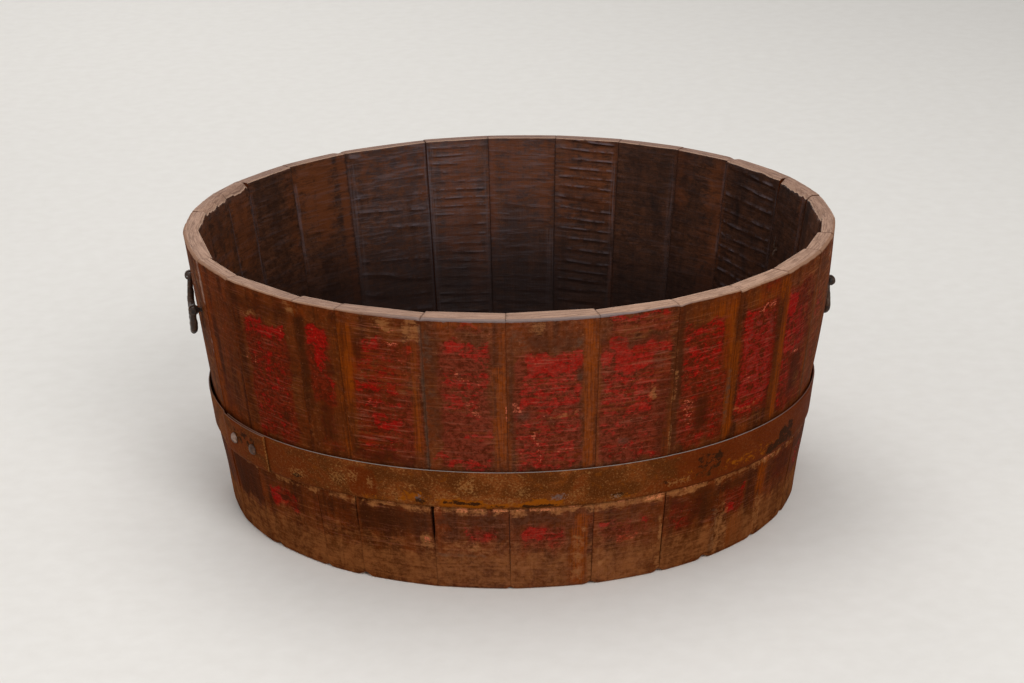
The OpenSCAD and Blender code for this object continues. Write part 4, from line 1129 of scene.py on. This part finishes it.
def makeRivetTree():
    tree, given, out = newTree("hammeredRivets", "GeometryNodeTree", {
        "Count": 2, "Head": 0.007, "Rise": 0.004, "Roughness": 0.0005, "Start": "Vector", "Step": "Vector",
        "Tilt": "Vector", "Twist": "Vector", "Iron": "Material",
    }, {"Mesh": "Geometry"})
    ball = firstOf(tree, "GeometryNodeMeshUVSphere", {"Segments": 24, "Rings": 14, "Radius": 1.0})
    place = firstOf(tree, "GeometryNodeInputPosition")
    x, y, z = split(place)
    flat = calc("MAXIMUM", z, -0.25)
    head = move(ball, Position=join(x * given["Head"], y * given["Head"], flat * given["Rise"]))
    line = firstOf(tree, "GeometryNodeMeshLine",
                   {"Count": given["Count"], "Start Location": given["Start"], "Offset": given["Step"]})
    inputs = {0: given["Twist"], 1: firstOf(tree, "GeometryNodeInputIndex"), 2: given["Tilt"]}
    turn = firstOf(tree, "ShaderNodeVectorMath", inputs, operation="MULTIPLY_ADD")
    inputs = {"Points": line, "Instance": head, "Rotation": turn}
    spread = firstOf(tree, "GeometryNodeInstanceOnPoints", inputs)
    real = firstOf(tree, "GeometryNodeRealizeInstances", {0: spread})
    bumps = noise(place, 260, 2, 0.5, 4.0)
    feed(out["Mesh"], complete(press(real, (bumps - 1.0) * given["Roughness"]), given["Iron"]))
    return tree


forgedTones = palette(
    deep=(34, 28, 26), brown=(74, 48, 30), rust=(112, 74, 42), bright=(112, 104, 100),
)
# the rivets' bright tone is a painted highlight on the heads
rivetTones = palette(
    deep=(52, 32, 22), brown=(100, 68, 50), rust=(92, 48, 20), bright=(176, 152, 138),
)


def makeForgedFinish(name, tones):
    iron = Finish(name, tones, 0.3, 0.3)
    place = iron.objectPlace()
    patchy = noise(place, 70, 4, 0.6, 3.0, 0.4)
    fine = noise(place, 420, 4, 0.7, 1.0)
    tone = iron.coat(iron.blend(patchy.step(0.38, 0.62), "deep", "brown"),
                     (fine.step(0.52, 0.7) * 0.6, "rust"),
                     # bright patches: on the rivet heads a painted highlight
                     (patchy.step(0.54, 0.64) * 0.6, "bright"))
    return iron.complete(tone, patchy * 0.35 + 0.34, fine * 0.5 + patchy, 0.0008)


def rivetSeats(node, shape):  # where the solid has its two rivets: angle, and place of the head
    points = pointsOf(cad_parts[node].data)
    angles, radii = np.arctan2(points[:, 0], -points[:, 1]), np.hypot(points[:, 0], points[:, 1])
    for side in (angles < angles.mean(), angles >= angles.mean()):
        angle, radius = angles[side].mean(), radii[side].max() - shape["seat"]
        z = (points[side, 2].max() + points[side, 2].min()) / 2
        yield angle, Vector((radius * math.sin(angle), -radius * math.cos(angle), z - shape["drop"]))


(firstAngle, firstSeat), (secondAngle, secondSeat) = rivetSeats("hoop_rivets", rivetShape)
rivets = grow("hammeredRivetHeads", makeRivetTree(), {
    "Count": 2, "Head": rivetShape["head"], "Rise": rivetShape["rise"], "Roughness": rivetShape["dent"],
    "Start": firstSeat, "Step": secondSeat - firstSeat,
    "Tilt": Vector((math.pi / 2 + math.atan(slope), 0, firstAngle)),
    "Twist": Vector((0, 0, secondAngle - firstAngle)),
    "Iron": makeForgedFinish("wornRivet", rivetTones),
})
standIn(rivets, "hoop_rivets", "tub")
print("rivets hammered")


forging = {"voxel": 0.0007, "dent": 0.0006, "facet": 105.0, "soften": 0.5, "passes": 3}


def makeHammerTree(shape):  # shallow flats and pits, as a hammer leaves them
    tree, given, out = newTree("hammerMarks", "GeometryNodeTree", {
        "Mesh": "Geometry", "Depth": shape["dent"], "Facet": shape["facet"], "Iron": "Material",
    }, {"Mesh": "Geometry"})
    place = firstOf(tree, "GeometryNodeInputPosition")
    broad = noise(place, given["Facet"], 1, 0.5, 2.0)
    pits = noise(place, given["Facet"] * 4, 2, 0.6, 5.0)
    inset = (broad.step(0.35, 0.65) + pits * 0.4) * given["Depth"] * -1
    feed(out["Mesh"], complete(press(given["Mesh"], inset), given["Iron"]))
    return tree


hammerTree, forgedFinish = makeHammerTree(forging), makeForgedFinish("darkForgedIron", forgedTones)


def forge(name, node, body):  # the solid, softened and hammered
    source = bmesh.new()
    source.from_mesh(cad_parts[node].data)
    bmesh.ops.remove_doubles(source, verts=source.verts, dist=1e-5)
    blank = bpy.data.meshes.new(name + "Blank")
    source.to_mesh(blank)
    source.free()
    before = [("REMESH", {"mode": "VOXEL", "voxel_size": forging["voxel"]}),
              ("SMOOTH", {"factor": forging["soften"], "iterations": forging["passes"]})]
    standIn(grow(name, hammerTree, {"Iron": forgedFinish}, blank, before), node, body)


for side in ("left", "right"):
    forge(side + "ForgedBail", side + "_bail", side + "_handle")
    for end in ("front", "back"):
        forge(side + end.capitalize() + "SplitPin", f"{side}_{end}_eye", "tub")
print("handles forged")


stageSetup = {
    "radius": 14.0,
    "room": 0.35,  # the world's light
    "background": 0.66,  # how bright the world looks to the camera
    "glow": 0.36,  # what lifts the far floor to the same tone
    "glowFrom": 2.4,
    "glowTo": 8.0,
}
lamps = {  # place, aim, size and watts
    "keyLight": ((1.1, -3.0, 2.6), (0, 0, 0.15), 2.0, 72),
    "fillLight": ((-2.6, -1.6, 1.9), (0, 0, 0.15), 2.2, 17),
    "topLight": ((0, 0.4, 3.2), (0, 0, 0.2), 2.4, 30),
    "backLight": ((-1.0, 3.0, 2.2), (0, 0, 0.15), 2.4, 30),
}
floorTones = palette(warm=(226, 222, 216), pale=(236, 233, 228))


def seenShare(tree):  # 1 for what the camera sees directly or in a reflection
    rays = tree.nodes.new("ShaderNodeLightPath").outputs
    return calc("MAXIMUM", Value(rays["Is Camera Ray"]), Value(rays["Is Glossy Ray"]))


def makeStage(setup):
    pale = Finish("paleFloor", floorTones, 0.0)
    pale.shader["Roughness"].default_value = 0.9
    place = pale.objectPlace()
    feed(pale.shader["Base Color"], pale.blend(noise(place, 40, 3, 0.5, 0.0), "warm", "pale"))
    away = Value(addNode(pale.tree, "ShaderNodeVectorMath", {0: place}, operation="LENGTH").outputs["Value"])
    pale.shader["Emission Color"].default_value = tint(240, 238, 234)
    glow = away.step(setup["glowFrom"], setup["glowTo"], 0.0, setup["glow"])
    feed(pale.shader["Emission Strength"], glow * seenShare(pale.tree))
    disc = bmesh.new()
    bmesh.ops.create_circle(disc, cap_ends=True, segments=96, radius=setup["radius"])
    mesh = bpy.data.meshes.new("studioFloor")
    disc.to_mesh(mesh)
    disc.free()
    mesh.materials.append(pale.material)
    floor = bpy.data.objects.new("studioFloor", mesh)
    bpy.context.collection.objects.link(floor)

    world = bpy.data.worlds.new("softRoom")
    bpy.context.scene.world = world
    world.use_nodes = True
    background = world.node_tree.nodes["Background"].inputs
    background["Color"].default_value = (1, 1, 1, 1)
    share = seenShare(world.node_tree)
    feed(background["Strength"], share * (setup["background"] - setup["room"]) + setup["room"])


def makeLamp(name, place, aim, size, watts):
    data = bpy.data.lights.new(name, "AREA")
    data.shape, data.size, data.energy = "DISK", size, watts
    lamp = bpy.data.objects.new(name, data)
    lamp.location = place
    lamp.rotation_euler = (Vector(aim) - Vector(place)).to_track_quat("-Z", "Y").to_euler()
    lamp.visible_camera = False
    bpy.context.collection.objects.link(lamp)


makeStage(stageSetup)
for name, setup in lamps.items():
    makeLamp(name, *setup)
bpy.context.scene.view_settings.view_transform = "Standard"
print("stage lit")
